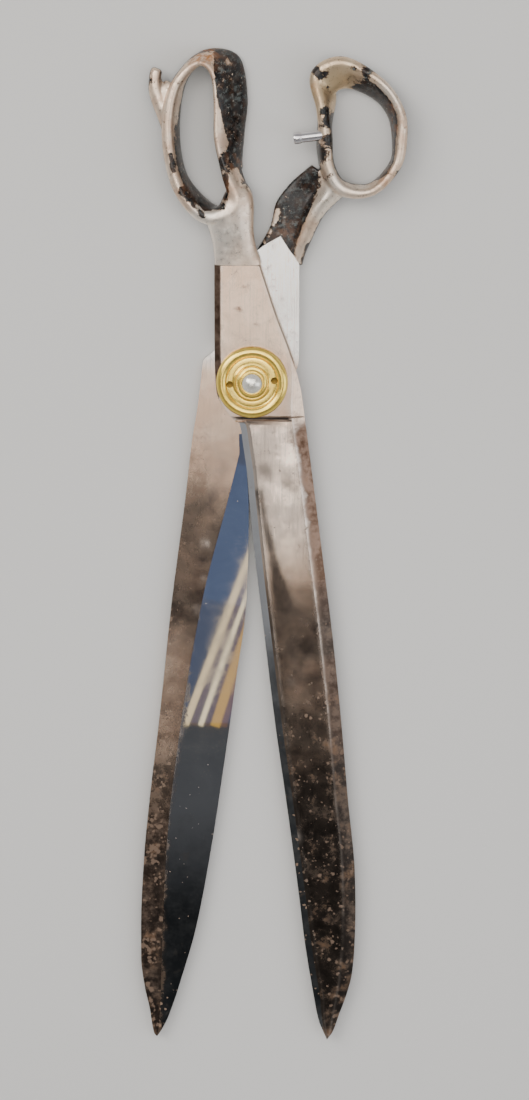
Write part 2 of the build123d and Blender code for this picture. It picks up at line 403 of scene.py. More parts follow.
def worn_japan():
    """Black enamel where the stored bareness, roughened by noise, is under a half."""
    f = Finish("worn_japan")
    bare = f.stored("bare")
    ragged = f.sum(f.noise(4.2, 10, 0.74, 0.5), f.times(f.noise(14.0, 3), 0.5))
    edge = f.sum(bare, f.times(f.sum(ragged, -0.75), 1.7))
    metal_shows = f.band(edge, 0.485, 0.51)
    flecks = f.band(f.noise(1.3, 3, 0.7), 0.65, 0.67)
    fleck_field = f.times(flecks, f.band(f.noise(9.0, 2), 0.44, 0.56))
    shows = f.sum(metal_shows, fleck_field, "MAXIMUM")
    rim = f.times(f.band(edge, 0.43, 0.485), f.band(edge, 0.57, 0.51))
    tone = f.noise(8.0, 5, 0.6, 0.3)
    metal = f.mix(f.band(tone, 0.3, 0.7), ROSY_METAL, WARM_METAL)
    metal = f.mix(f.band(f.noise(26.0, 2), 0.5, 0.7), metal, RUBBED_METAL)
    metal = f.mix(f.times(f.stored("gold"), 0.8), metal, GOLDEN_METAL)
    pits = f.band(f.noise(1.9, 5, 0.75), 0.565, 0.66)
    metal = f.mix(f.times(pits, 0.8), metal, PITS)
    # Painted highlight: near-white metal on the upward faces of the necks.
    metal = f.mix(f.times(f.stored("highlight"), 0.85), metal, HIGHLIGHT_METAL)
    rust = f.times(f.stored("rust"), f.band(f.noise(3.5, 6, 0.7), 0.42, 0.6))
    metal = f.mix(rust, metal, RUST_ON_METAL)
    paint = f.mix(f.band(f.noise(4.0, 4), 0.42, 0.7), ENAMEL, ENAMEL_DULLED)
    dust = f.times(f.stored("dust"), f.band(f.noise(2.6, 6, 0.78), 0.50, 0.62))
    paint = f.mix(f.times(dust, 0.6), paint, DUST)
    paint = f.mix(f.times(rust, 0.8), paint, RUST_ON_ENAMEL)
    colour = f.mix(shows, paint, metal)
    colour = f.mix(f.times(rim, 0.5), colour, CHIP_RIM)
    rough_metal = f.band(f.noise(3.0, 6, 0.7), 0.3, 0.75, 0.24, 0.46)
    rough_paint = f.band(f.noise(6.0, 5, 0.6), 0.35, 0.7, 0.18, 0.38)
    rough = f.blend(shows, rough_paint, rough_metal)
    rough = f.sum(rough, f.times(f.sum(dust, rust, "MAXIMUM"), 0.35))
    cast = f.relief(f.noise(1.1, 3, 0.6), 0.03, 0.4)
    step = f.relief(f.sum(1.0, shows, "SUBTRACT"), 0.09, 0.9, cast)
    dents = f.relief(f.noise(9.0, 3, 0.5), 0.2, 0.35, step)
    is_metal = f.blend(shows, 0.0, f.sum(0.88, f.times(rust, 0.7), "SUBTRACT"))
    return f.surface(colour, is_metal, rough, dents, Specular_IOR_Level=0.38)


JAPAN = worn_japan()
print(JAPAN.name, "has", len(JAPAN.node_tree.nodes), "nodes")

# %% [markdown]
# ## Finish: forged iron back
# The backs are softer iron, ground and then left to brown.  Fine scratches run along
# the blade, clouds of stain lie over them, and rust has bitten freckles near the
# spine.  Five stored values steer it: `clean` for whiter metal, `stain` for brown,
# one for old dark patina with painted shade in it, `freckle` for rust, and one for
# rubbed ridges with a painted highlight along them.


# %% Iron finish
IRON_DARK, IRON_LIGHT, IRON_CLEAN = (0.57, 0.405, 0.297), (0.66, 0.505, 0.388), (0.80, 0.785, 0.755)
MOTTLE, SCRATCH, FINE_PITS = (0.40, 0.31, 0.26), (0.42, 0.33, 0.28), (0.24, 0.16, 0.12)
BROWN_DEEP, BROWN_LIGHT = (0.085, 0.048, 0.031), (0.27, 0.18, 0.135)
# Dark patina, also used as painted shade: the blades' dark reflection towards the point and the shadow line
# under the step.
PATINA_SHADE_DEEP, PATINA_SHADE_LIGHT = (0.035, 0.03, 0.027), (0.10, 0.08, 0.065)
RUST_DULL, RUST_ORANGE, RUST_BITE = (0.15, 0.10, 0.07), (0.24, 0.125, 0.06), (0.22, 0.145, 0.10)
RUBBED_EDGE_AND_HIGHLIGHT = (0.60, 0.51, 0.44)


def ground_iron():
    """Steel, then brown, patina with painted shade, rust, and rubbed edges with a painted highlight, each
    laid over the last.
    """
    f = Finish("forged_iron")
    stain, dark_patina_and_shade, freckle = f.stored("stain"), f.stored("dark_patina_and_shade"), f.stored("freckle")
    clouds = f.noise(22.0, 6, 0.6, 0.8)
    mottle = f.noise(6.0, 8, 0.7)
    fine = f.noise(1.4, 5, 0.75)
    grain = f.noise(1.0, 3, 0.5, 0, f.stretched((1.8, 0.03, 1.8), -4))
    steel = f.mix(f.band(clouds, 0.35, 0.68), IRON_DARK, IRON_LIGHT)
    steel = f.mix(f.stored("clean"), steel, IRON_CLEAN)
    steel = f.mix(f.times(f.band(mottle, 0.48, 0.72), 0.35), steel, MOTTLE)
    steel = f.mix(f.times(f.band(grain, 0.52, 0.66), 0.25), steel, SCRATCH)
    steel = f.mix(f.times(f.band(fine, 0.62, 0.68), 0.55), steel, FINE_PITS)
    brown = f.mix(f.band(mottle, 0.35, 0.65), BROWN_DEEP, BROWN_LIGHT)
    brown_share = f.band(f.sum(stain, f.times(f.sum(mottle, -0.5), 1.6)), 0.2, 0.95)
    colour = f.mix(brown_share, steel, brown)
    # Patina, with painted shade where the stored value is high.
    patina_shade = f.mix(f.band(mottle, 0.4, 0.66), PATINA_SHADE_DEEP, PATINA_SHADE_LIGHT)
    patina_shade_share = f.band(f.sum(dark_patina_and_shade, f.times(f.sum(clouds, -0.5), 0.75)), 0.15, 1.0)
    colour = f.mix(f.times(patina_shade_share, 0.93), colour, patina_shade)
    bites = f.sum(f.specks(2.2, freckle), f.specks(4.6, f.times(freckle, 0.75), 17.0), "MAXIMUM")
    spread = f.band(f.sum(mottle, f.times(freckle, 0.12)), 0.62, 0.84)
    rust = f.mix(f.band(f.noise(18.0, 3), 0.4, 0.6), RUST_DULL, RUST_ORANGE)
    colour = f.mix(f.times(spread, 0.6), colour, rust)
    colour = f.mix(f.times(bites, 0.7), colour, RUST_BITE)
    # Rubbed edges, partly a painted highlight along ridges and bevel tops.
    worn_and_highlight = f.times(f.stored("worn_and_highlight"), f.band(f.noise(7.0, 5, 0.7), 0.35, 0.6, 0.25, 0.7))
    colour = f.mix(worn_and_highlight, colour, RUBBED_EDGE_AND_HIGHLIGHT)
    rough = f.band(f.sum(f.noise(11.0, 5, 0.55), f.times(grain, 0.2)), 0.4, 0.8, 0.14, 0.26)
    rough = f.blend(f.times(brown_share, 0.5), rough, 0.48)
    rough = f.blend(f.sum(bites, f.times(spread, 0.5), "MAXIMUM"), rough, 0.66)
    normal = f.relief(grain, 0.012, 0.3)
    normal = f.relief(f.sum(bites, f.times(mottle, 0.15)), 0.03, 0.4, normal)
    metal = f.sum(1.0, f.sum(f.times(bites, 0.6), f.times(spread, 0.3), "MAXIMUM"), "SUBTRACT")
    return f.surface(colour, metal, rough, normal)


IRON = ground_iron()
print(IRON.name, "has", len(IRON.node_tree.nodes), "nodes")

# %% [markdown]
# ## Finish: laid steel
# The cutting plates are hard steel, lapped flat.  They stay near mirror bright, so
# their colour is mostly what they reflect.  The finish only adds faint water marks, a
# brown film, a dark oxide that also paints a dark reflection near the point, and rust
# freckles, where the stored values ask for them.


# %% Steel finish
STEEL_DARK, STEEL_LIGHT = (0.56, 0.565, 0.585), (0.64, 0.645, 0.66)
OXIDE_SHADE_DEEP, OXIDE_SHADE_LIGHT = (0.09, 0.096, 0.10), (0.20, 0.20, 0.195)
WATER_MARK, BROWN_FILM = (0.40, 0.34, 0.28), (0.24, 0.165, 0.115)
STEEL_RUST, STEEL_BITE = (0.235, 0.12, 0.05), (0.30, 0.19, 0.12)


def lapped_steel():
    """Near-mirror steel, with oxide and a painted dark reflection, a brown film and rust freckles laid over
    it.
    """
    f = Finish("laid_steel")
    dark_patina_and_shade, freckle = f.stored("dark_patina_and_shade"), f.stored("freckle")
    clouds = f.noise(20.0, 6, 0.6, 0.7)
    steel = f.mix(f.band(clouds, 0.3, 0.7), STEEL_DARK, STEEL_LIGHT)
    # Oxide, with a painted dark reflection near the point.
    oxide_shade = f.mix(f.band(f.noise(8.0, 7, 0.7), 0.4, 0.7), OXIDE_SHADE_DEEP, OXIDE_SHADE_LIGHT)
    oxide_shade_share = f.band(f.sum(dark_patina_and_shade, f.times(f.sum(clouds, -0.5), 0.5)), 0.25, 0.95)
    colour = f.mix(oxide_shade_share, steel, oxide_shade)
    marks = f.band(f.noise(13.0, 4, 0.6, 1.2), 0.66, 0.7)
    colour = f.mix(f.times(marks, 0.25), colour, WATER_MARK)
    film = f.band(f.sum(f.stored("stain"), f.times(f.sum(f.noise(5.0, 7, 0.7), -0.5), 1.8)), 0.35, 0.9)
    colour = f.mix(f.times(film, 0.8), colour, BROWN_FILM)
    bites = f.specks(2.8, freckle)
    spread = f.band(f.sum(f.noise(6.0, 8, 0.7), f.times(freckle, 0.13)), 0.68, 0.84)
    colour = f.mix(f.times(spread, 0.6), colour, STEEL_RUST)
    colour = f.mix(f.times(bites, 0.8), colour, STEEL_BITE)
    rough = f.sum(f.band(clouds, 0.4, 0.75, 0.015, 0.05), f.times(marks, 0.06))
    rough = f.blend(film, rough, 0.34)
    rough = f.blend(f.sum(bites, f.times(spread, 0.7), "MAXIMUM"), rough, 0.55)
    normal = f.relief(bites, 0.03, 0.5)
    metal = f.sum(1.0, f.times(f.sum(bites, f.times(spread, 0.4), "MAXIMUM"), 0.7), "SUBTRACT")
    return f.surface(colour, metal, rough, normal)


STEEL = lapped_steel()
print(STEEL.name, "has", len(STEEL.node_tree.nodes), "nodes")

# %% [markdown]
# ## Finish: turned brass and bright bolt steel
# Both were cut on a lathe, so faint rings run round the pivot.  The rings come from
# the distance to the axis.  Brass is painted dark brown in its grooves and holes, as
# shade, and both metals carry small dents and tarnished specks.


# %% Turned finishes
def turned_metal(name, bright, dull, tarnish_and_shade, rough_low, rough_high, metal):
    """A turned metal: clouds mix bright and dull, hollows take painted shade and specks take tarnish.

    Its fine grooves are noise that reads only the distance from the axis.
    """
    f = Finish(name)
    flat = f.stretched((1, 1, 0))
    radius = f.node("ShaderNodeVectorMath", operation="LENGTH")
    f.join(flat, radius.inputs[0])
    rings = f.node("ShaderNodeCombineXYZ")
    f.join(radius.outputs["Value"], rings.inputs[0])
    groove = f.noise(0.32, 2, 0.6, 0, rings.outputs[0])
    clouds = f.noise(7.0, 6, 0.65, 0.6)
    colour = f.mix(f.band(clouds, 0.35, 0.7), bright, dull)
    specks = f.band(f.noise(0.9, 4, 0.75), 0.63, 0.7)
    # Painted shade: the stored hollow value darkens grooves and holes.
    hollow = f.band(f.sum(f.stored("hollow"), f.times(f.sum(clouds, -0.5), 0.9)), 0.35, 0.85)
    colour = f.mix(f.times(hollow, 0.95), colour, tarnish_and_shade)
    colour = f.mix(f.times(specks, 0.6), colour, tarnish_and_shade)
    rough = f.band(f.sum(f.noise(2.5, 5, 0.7), f.times(hollow, 0.3)), 0.35, 0.85, rough_low, rough_high)
    normal = f.relief(groove, 0.02, 0.35)
    normal = f.relief(f.noise(3.0, 4, 0.6), 0.06, 0.4, normal)
    return f.surface(colour, metal, rough, normal)


BRASS = turned_metal(
    "nut_brass", bright=(1.0, 0.74, 0.17), dull=(0.98, 0.67, 0.13), tarnish_and_shade=(0.12, 0.065, 0.012),
    rough_low=0.18, rough_high=0.34, metal=0.9,
)
STUD_STEEL = turned_metal(
    "stud_steel", bright=(0.80, 0.78, 0.78), dull=(0.66, 0.62, 0.64), tarnish_and_shade=(0.12, 0.09, 0.08),
    rough_low=0.16, rough_high=0.34, metal=1.0,
)
# The bolt's near-white cream colour is a painted highlight on bright steel.
BOLT_STEEL_HIGHLIT = turned_metal(
    "bolt_steel", bright=(1.0, 0.97, 0.88), dull=(0.98, 0.94, 0.83), tarnish_and_shade=(0.30, 0.22, 0.15),
    rough_low=0.24, rough_high=0.36, metal=0.8,
)
print("turned finishes:", BRASS.name, STUD_STEEL.name, BOLT_STEEL_HIGHLIT.name)

# %% [markdown]
# ## The two forged halves
# Each half is one forging: shank, pivot boss and blade.  Its outline could be traced
# and extruded, but the ground bevels change all the way down, so it is lofted
# instead.  Two curves of y give the cutting edge and the spine.  A third gives the
# line where the hard steel plate ends on the flat inner face.

# %% Outlines of the halves
STEEL_THICK = 2.0
SEAM = 0.07
EDGE_LAND = 0.4
HALF_THICK = PARTING - REST
FRONT_EDGE = [
    (-311.2, 34.7), (-302, 31.0), (-288, 28.3), (-266, 24.7), (-240, 21.5), (-200, 16.2),
    (-160, 10.6), (-120, 5.8), (-80, 1.1), (-54, -1.4), (-42, -2.4), (-30, -4.1), (-20.4, -5.6),
    (-19.3, -6.4), (-18.2, -7.6), (-15.1, -10.3), (-10.4, -13.9), (-5, -16.1), (4, -16.8),
    (20, -17.1), (53.3, -17.1),
]
FRONT_SPINE = [
    (-311.2, 35.1), (-308, 37.4), (-298.3, 40.9), (-290, 43.9), (-279, 46.6), (-266, 47.7),
    (-250, 48.1), (-233, 47.8), (-196, 44.4), (-158, 41.1), (-120, 37.2), (-83, 32.6),
    (-46, 27.9), (-17, 24.1), (-4.6, 22.4), (5, 20.1), (12, 18.3), (30.6, 11.4), (45.3, 6.6),
    (53.3, 4.0),
]
REAR_EDGE = [
    (-310, -44.5), (-306.5, -42.2), (-300, -39.1), (-280, -32.5), (-258, -26.3), (-218, -18.8),
    (-180, -13.1), (-140, -7.5), (-102, -2.6), (-62, -1.5), (-24.5, -3.2), (-14, 10.0),
    (0, 18.4), (10, 21.4), (20, 21.5), (52.4, 21.5), (60, 16.8), (66, 13.0),
]
REAR_SPINE = [
    (-310, -44.9), (-308.5, -46.0), (-296, -48.1), (-286, -50.3), (-272, -51.9), (-258, -51.9),
    (-225, -50.4), (-197, -47.7), (-159, -43.1), (-102, -36.9), (-56, -30.8), (-28, -27.5),
    (-12, -24.9), (0, -23.4), (8.8, -22.3), (13.4, -17.4), (34, -10.0), (56, -1.0), (61.4, 5.0),
    (66, 13.0),
]
FRONT_STEEL_LINE = [
    (-312, 35), (-300, 35.6), (-262, 36.5), (-220, 34), (-160, 27), (-100, 17), (-55, 5), (-19, -5),
]
REAR_STEEL_LINE = [
    (-312, -44.6), (-300, -43.4), (-262, -42), (-220, -40), (-160, -33), (-100, -22.5), (-55, -11),
    (-24, -3.4),
]
print("each half is", round(HALF_THICK, 2), "mm thick at the boss")

# %% [markdown]
# ### The corners across a half
# Across any line the half has the same corners in the same order: cutting edge, top
# of the ground bevel, ridge, spine, then back along the flat inner face.  Only their
# distances change: the blade thins towards its point, and above the step the bevel
# turns into the shank's worn chamfer.  Each one eases from its value on the shank to
# its value on the blade.


# %% Corners across a half
HEEL_THICK, TIP_THICK = 5.0, 2.3
STEP_LENGTH = 1.1
SHANK_BEVEL, SHANK_BEVEL_DROP = 2.6, 2.4
BLADE_BEVEL, BEVEL_HEIGHT_SHARE = 4.5, 0.6
ROUNDED, RIDGE_INSET = 0.9, 6.0
SPINE_DROP = 0.8
WIDEST_BEVEL, WIDEST_PLATE = 0.3, 0.92


def half_corners(y, edge_knots, spine_knots, steel_knots, step, heel):
    """Places of a half's corners at each y, as a dict of arrays in millimetres.

    step is where the boss drops to the blade, at the edge, the face and the spine;
    heel is where the cutting edge starts.
    """
    edge, spine = flow(edge_knots, y)[:, 0], flow(spine_knots, y)[:, 0]
    side = np.sign(np.mean(spine - edge))
    width = np.abs(spine - edge)
    blade_run = np.clip((heel - y) / (heel - TIP_Y), 0, 1)
    thick = HEEL_THICK - (HEEL_THICK - TIP_THICK) * blade_run
    on_shank = ease(y, -9, 3)

    def falls(at, shank_value, blade_value):
        """The shank's value above y = at, and the blade's from a step's length below it."""
        share = ease(-y, -at, -at + STEP_LENGTH)
        return shank_value + (blade_value - shank_value) * share

    land = falls(step[0], HALF_THICK - SHANK_BEVEL_DROP * on_shank, EDGE_LAND)
    bevel_high = falls(step[1], HALF_THICK, BEVEL_HEIGHT_SHARE * thick)
    bevel = falls(step[1], 0.3 + SHANK_BEVEL * on_shank, BLADE_BEVEL)
    bevel = np.minimum(bevel, WIDEST_BEVEL * width)
    ridge_high = falls(step[2], HALF_THICK, thick)
    chamfer = ROUNDED + (RIDGE_INSET - ROUNDED) * ease(-y, -14, -step[2])
    chamfer = np.minimum(chamfer, WIDEST_BEVEL * width)
    shank_spine = HALF_THICK - SPINE_DROP
    spine_high = shank_spine + (0.5 * thick - shank_spine) * ease(-y, -12, 24)
    has_steel = (y < heel).astype(float)
    steel = np.minimum(STEEL_THICK, 0.75 * bevel_high) * has_steel
    reach = np.abs(flow(steel_knots, y)[:, 0] - edge) * has_steel
    reach = np.minimum(reach, WIDEST_PLATE * width)
    on_bevel = bevel * np.clip((steel - land) / np.maximum(bevel_high - land, 0.1), 0, 1)
    return dict(
        y=y, edge=edge, side=side, width=width, land=land, bevel=bevel, bevel_high=bevel_high,
        chamfer=chamfer, ridge_high=ridge_high, spine_high=spine_high, steel=steel,
        reach=np.maximum(reach, on_bevel), on_bevel=on_bevel, swell=0.1 * ease(-y, 22, 40),
    )


# %% [markdown]
# ### Skins of the halves
# With the corners known, the iron back and the steel plate are each one grid: a row
# of corners for each y.  Extra points between two corners bow a face out by up to a
# tenth of a millimetre, as hand grinding leaves it, which makes reflections move.


# %% Skins of the halves
def loft_corners(c, inner, outward, corners):
    """A grid from lists of (distance in from the edge, height off the inner face)."""
    grid = np.empty((len(c["y"]), len(corners), 3))
    for column, (across, high) in enumerate(corners):
        grid[:, column, 0] = c["edge"] + c["side"] * across
        grid[:, column, 1] = c["y"]
        grid[:, column, 2] = inner + outward * high
    return grid


def between(first, last, count, bow=0.0):
    """Corners evenly spaced from the first to before the last.

    Between them the height gains a hump of 4 t (1 - t) times `bow`.
    """
    made = []
    for t in np.linspace(0, 1, count, endpoint=False):
        swell = bow * 4 * t * (1 - t)
        made.append((first[0] + (last[0] - first[0]) * t, first[1] + (last[1] - first[1]) * t + swell))
    return made


def forged_back(name, c, inner, outward):
    """The iron part of a half: everything but the laid steel plate."""
    zero = 0 * c["y"]
    start = (c["reach"], zero)
    above = (c["reach"], c["steel"])
    at_bevel = (c["on_bevel"], c["steel"])
    wall = (c["on_bevel"], np.maximum(c["steel"], c["land"]))
    bevel_top = (c["bevel"], c["bevel_high"])
    ridge = (c["width"] - c["chamfer"], c["ridge_high"])
    spine = (c["width"], c["spine_high"])
    foot = (c["width"], zero)
    corners = [start, above, at_bevel, wall]
    corners += between(wall, bevel_top, 4, 0.03) + between(bevel_top, ridge, 14, c["swell"])
    corners += between(ridge, spine, 5, 0.08) + [spine, foot] + between(foot, start, 8)[1:]
    return skin(name, loft_corners(c, inner, outward, corners))


def steel_plate(name, c, inner, outward, heel):
    """The laid steel plate: the cutting edge and the face behind it."""
    keep = c["y"] < heel - 0.01
    p = {k: (v[keep] if isinstance(v, np.ndarray) else v) for k, v in c.items()}
    zero = 0 * p["y"]
    back_x = np.maximum(p["reach"] - SEAM, 0.05)
    corners = [
        (zero, zero),
        (zero, np.minimum(p["land"], p["steel"])),
        (p["on_bevel"], p["steel"]),
        (np.maximum(back_x, p["on_bevel"]), p["steel"]),
        (back_x, zero),
    ]
    corners += between((back_x, zero), (zero, zero), 6)[1:]
    return skin(name, loft_corners(p, inner, outward, corners))


def rows_down(top, heel, tip):
    """Row places from the handle joint to the tip, close together at the step."""
    above, below, near_tip = heel + 12, heel - 3, tip + 14
    spans = ((top, above, 70), (above, below, 90), (below, near_tip, 190))
    rows = [np.linspace(start, end, count, endpoint=False) for start, end, count in spans]
    return np.concatenate([*rows, np.linspace(near_tip, tip, 36)])


print("a blade is", HEEL_THICK, "mm thick at its heel and", TIP_THICK, "at its tip")

# %% [markdown]
# ### Build the halves
# Rows stand close together at the step, where the shape changes fast.  The front
# half is built upwards from the parting plane and the rear half downwards from it.

# %% Build the halves
FRONT_HEEL, REAR_HEEL = -19.2, -24.2
FRONT_STEP, REAR_STEP = (-18.6, -17.4, -15.9), (-24.0, -23.6, -23.6)
front_rows = rows_down(53.2, FRONT_HEEL, -311.2)
rear_rows = rows_down(65.9, REAR_HEEL, -310.0)
front = half_corners(front_rows, FRONT_EDGE, FRONT_SPINE, FRONT_STEEL_LINE, FRONT_STEP, FRONT_HEEL)
rear = half_corners(rear_rows, REAR_EDGE, REAR_SPINE, REAR_STEEL_LINE, REAR_STEP, REAR_HEEL)
front_back = forged_back("front_blade", front, FRONT_BASE, 1)
front_steel = steel_plate("front_edge_steel", front, FRONT_BASE, 1, FRONT_HEEL)
rear_back = forged_back("rear_blade", rear, PARTING, -1)
rear_steel = steel_plate("rear_edge_steel", rear, PARTING, -1, REAR_HEEL)
print("blades", round(front["width"].max(), 1), "and", round(rear["width"].max(), 1), "mm wide at most")

# %% [markdown]
# ## Round work: bolt, nut, washer and stud
# These were all turned, so each is a profile of radius and height carried round an
# axis.  A modelling tool's screw modifier would do the same, but an array keeps the
# pole points under control.  The bolt's flush head sits in a counterbore under the
# rear boss, and its domed end stands up through the nut.


# %% Turned pieces
def turned(name, profile, steps=160, at=(0, 0, 0), along=(0, 0, 1)):
    """A closed surface from (radius, height) points carried round an axis.

    The point at angle a is at + radius * (cos a * first + sin a * second) + height * axis.
    """
    profile = np.asarray(profile, float)
    angle = np.linspace(0, 2 * np.pi, steps, endpoint=False)
    axis = unit(np.asarray(along, float))
    aslant = (0.3, 1.0, 0.2)  # any direction that no axis here follows
    first = unit(np.cross(axis, aslant))
    second = np.cross(axis, first)
    spoke = np.cos(angle)[:, None] * first + np.sin(angle)[:, None] * second
    grid = np.asarray(at, float) + spoke[:, None, :] * profile[None, :, :1] + axis * profile[None, :, 1:]
    return skin(name, grid, ring=True)


def arc(start, end, bulge, count):
    """Points from start to end, bowed to the left of the way there by `bulge`."""
    start, end = np.asarray(start, float), np.asarray(end, float)
    t = np.linspace(0, 1, count)[:, None]
    way = end - start
    left = np.array([-way[1], way[0]]) / np.hypot(*way)
    return (start + way * t + left * bulge * 4 * t * (1 - t)).tolist()


HEAD_RADIUS, HEAD_THICK, JOURNAL, THREAD = 7.95, 2.4, 5.0, 4.4
DOME_BASE = BOLT_TOP - 1.9

bolt_profile = [(0, 0.05), (HEAD_RADIUS - 0.45, 0.05), (HEAD_RADIUS, 0.45), (HEAD_RADIUS, HEAD_THICK)]
bolt_profile += [(JOURNAL, HEAD_THICK)]
bolt_profile += [(JOURNAL, FRONT_TOP), (THREAD, FRONT_TOP + 0.6), (THREAD, DOME_BASE)]
bolt_profile += arc((THREAD, DOME_BASE), (0, BOLT_TOP), -0.55, 12)[1:]
bolt = turned("bolt", bolt_profile, 96)
print("the bolt's end stands", round(BOLT_TOP - NUT_BASE, 1), "mm above the nut's base")

# %% [markdown]
# ### The brass nut
# The nut is a plate with a fat rounded rim, a shallow ledge with two spanner holes,
# and a stepped boss round the bolt.  The rim is part of an oval, and the holes are
# drilled with a small turned cutter.

# %% Build the nut
LEDGE = NUT_BASE + 2.1
RIM_MIDDLE, RIM_HIGH = 13.9, NUT_BASE + 1.25
RIM_HALF_WIDTH, RIM_HALF_HEIGHT = 2.45, 2.1
BORE = THREAD + 0.05

lobe = np.linspace(math.radians(-20), math.radians(152), 22)
rim_radius = RIM_MIDDLE + RIM_HALF_WIDTH * np.cos(lobe)
rim_height = RIM_HIGH + RIM_HALF_HEIGHT * np.sin(lobe)
nut_profile = [(BORE, NUT_BASE + 1.4), (8.2, NUT_BASE + 1.4), (8.2, NUT_BASE), (15.8, NUT_BASE)]
nut_profile += np.column_stack([rim_radius, rim_height]).tolist()
nut_profile += [(11.5, LEDGE - 0.02), (11.2, LEDGE - 0.12), (10.9, LEDGE - 0.08), (9.2, LEDGE)]
nut_profile += [(8.85, LEDGE - 0.05), (8.65, LEDGE + 0.02)]
nut_profile += arc((8.5, NUT_BASE + 2.4), (7.35, NUT_BASE + 3.45), 0.25, 6)
nut_profile += [(7.2, NUT_BASE + 3.42), (7.0, NUT_BASE + 3.45)]
nut_profile += arc((6.85, NUT_BASE + 3.65), (5.3, NUT_BASE + 4.65), 0.3, 8)
nut_profile += [(5.0, NUT_BASE + 4.7), (4.6, NUT_BASE + 4.6), (BORE, NUT_BASE + 4.3)]
nut = turned("nut", nut_profile, 192)

SPANNER_ANGLE, SPANNER_CIRCLE, SPANNER_HOLE = math.radians(5.0), 10.2, 1.5
drill = [(0, LEDGE - 1.9), (SPANNER_HOLE - 0.1, LEDGE - 1.7), (SPANNER_HOLE, LEDGE - 0.2)]
drill += [(SPANNER_HOLE + 0.3, LEDGE + 1), (0, LEDGE + 1)]
for turn in (SPANNER_ANGLE, SPANNER_ANGLE + math.pi):
    spot = (SPANNER_CIRCLE * math.cos(turn), SPANNER_CIRCLE * math.sin(turn), 0)
    cut(nut, turned("drill", drill, 32, spot))
print("the nut has", len(nut.data.vertices), "vertices")

# %% [markdown]
# ### Washer, bores and stop stud
# The dished washer is a thin cone under the nut.  The bolt's counterbore and bores
# are cut with turned plugs a little larger than the bolt.  The stud is a pin with a
# rounded, slightly swollen head, lying level and pointing at the other bow.

# %% Build the washer, the bores and the stud
WASHER_PROFILE = [
    (7.6, FRONT_TOP + 0.1), (7.7, FRONT_TOP + 0.8), (5.2, FRONT_TOP + 1.5), (5.1, FRONT_TOP + 0.8),
]
BOLT_ROOM = 0.05
STUD_ROOT = np.array([33.2, 112.9, 13.2])
STUD_END = np.array([18.7, 111.1, 13.2])


def plug(radius, low, high, steps):
    """A plain turned cylinder from one height to another."""
    return turned("plug", [(0, low), (radius, low), (radius, high), (0, high)], steps)


washer = turned("washer", WASHER_PROFILE, 96)
cut(rear_back, plug(HEAD_RADIUS + 2 * BOLT_ROOM, -2, HEAD_THICK, 96))
cut(rear_back, plug(JOURNAL + BOLT_ROOM, -2, 8, 64))
cut(front_back, plug(JOURNAL + BOLT_ROOM, 4, 14, 64))

stud_length = np.linalg.norm(STUD_END - STUD_ROOT)
stud_profile = [(0, 0), (2.45, 0), (2.45, stud_length - 4.2), (2.5, stud_length - 3.6)]
stud_profile += [(2.75, stud_length - 3.0), (2.8, stud_length - 1.0), (2.6, stud_length - 0.3)]
stud_profile += [(1.9, stud_length), (0, stud_length)]
stud = turned("stud", stud_profile, 64, STUD_ROOT, STUD_END - STUD_ROOT)
print("the stud is", round(stud_length, 1), "mm long")

# %% [markdown]
# ## The cast bows
# A bow is a ring whose band leans: its front rim and its back rim follow different
# curves, because the finger's way through it is slanted.  The ring is an oval section
# carried round between the two rims.  The neck and the spur are carried along paths
# of their own, and then all of them are fused by a fine voxel remesh and smoothed,
# which leaves soft fillets like those of a casting.

# %% Bow surfaces
BOW_TOP, BOW_BASE = 16.2, 0.5
RING_ROWS, RING_AROUND = 420, 56
SQUARENESS = 2.7


def leaning_ring(stations):
    """A ring grid: ovals of `thick` by the lean's length, carried between two rims.

    At angle a the point is middle + lean * half_depth * c + across * half_thick * s,
    where c and s are the cosine and sine of a raised to 2 / SQUARENESS, signs kept.
    """
    rows = loop_through(stations, RING_ROWS)
    front, back, thick = rows[:, :3], rows[:, 3:6], rows[:, 6:7]
    middle = (front + back) / 2
    lean = unit(front - back)
    run = np.roll(middle, -1, 0) - np.roll(middle, 1, 0)
    across = unit(np.cross(run, lean))
    depth = (np.linalg.norm(front - back, axis=1, keepdims=True) + thick) / 2
    a = np.linspace(0, 2 * np.pi, RING_AROUND, endpoint=False)
    c = np.sign(np.cos(a)) * np.abs(np.cos(a)) ** (2 / SQUARENESS)
    s = np.sign(np.sin(a)) * np.abs(np.sin(a)) ** (2 / SQUARENESS)
    return (
        middle[:, None]
        + lean[:, None] * (depth * c)[..., None]
        + across[:, None] * (thick / 2 * s)[..., None]
    )


def rims(stations, backs=None):
    """Rows of front rim, back rim and thickness from listed plan points.

    The rims lie half a thickness inside the bow's top and base, apart from the back
    rims whose heights `backs` gives by their number.
    """
    rows = []
    for i, ((fx, fy), (bx, by), thick) in enumerate(stations):
        low = (backs or {}).get(i, BOW_BASE + thick / 2)
        rows.append((fx, fy, BOW_TOP - thick / 2, bx, by, low, thick))
    return rows


# %% [markdown]
# ### Necks, spur and casting
# A neck changes from a flat bar to part of a ring, so a few sections are given one
# by one and the surface flows through them.  The spur is a plain tube of changing
# radius.  Booleans join the grids, and a voxel remesh makes one even skin of them,
# which a smoothing modifier then softens like a cast fillet.

# %% Necks, spur and casting
NECK_ROWS, NECK_ACROSS = 80, 36
TUBE_ROWS, TUBE_AROUND = 70, 36
VOXEL, SOFTENING = 0.42, 22


def carried(sections):
    """A grid through given closed sections, joined by monotone cubics."""
    sections = np.asarray(sections, float)
    along = np.linspace(0, 1, len(sections))
    flat = np.column_stack([along, sections.reshape(len(sections), -1)])
    return flow(flat, np.linspace(0, 1, NECK_ROWS)).reshape(NECK_ROWS, -1, 3)


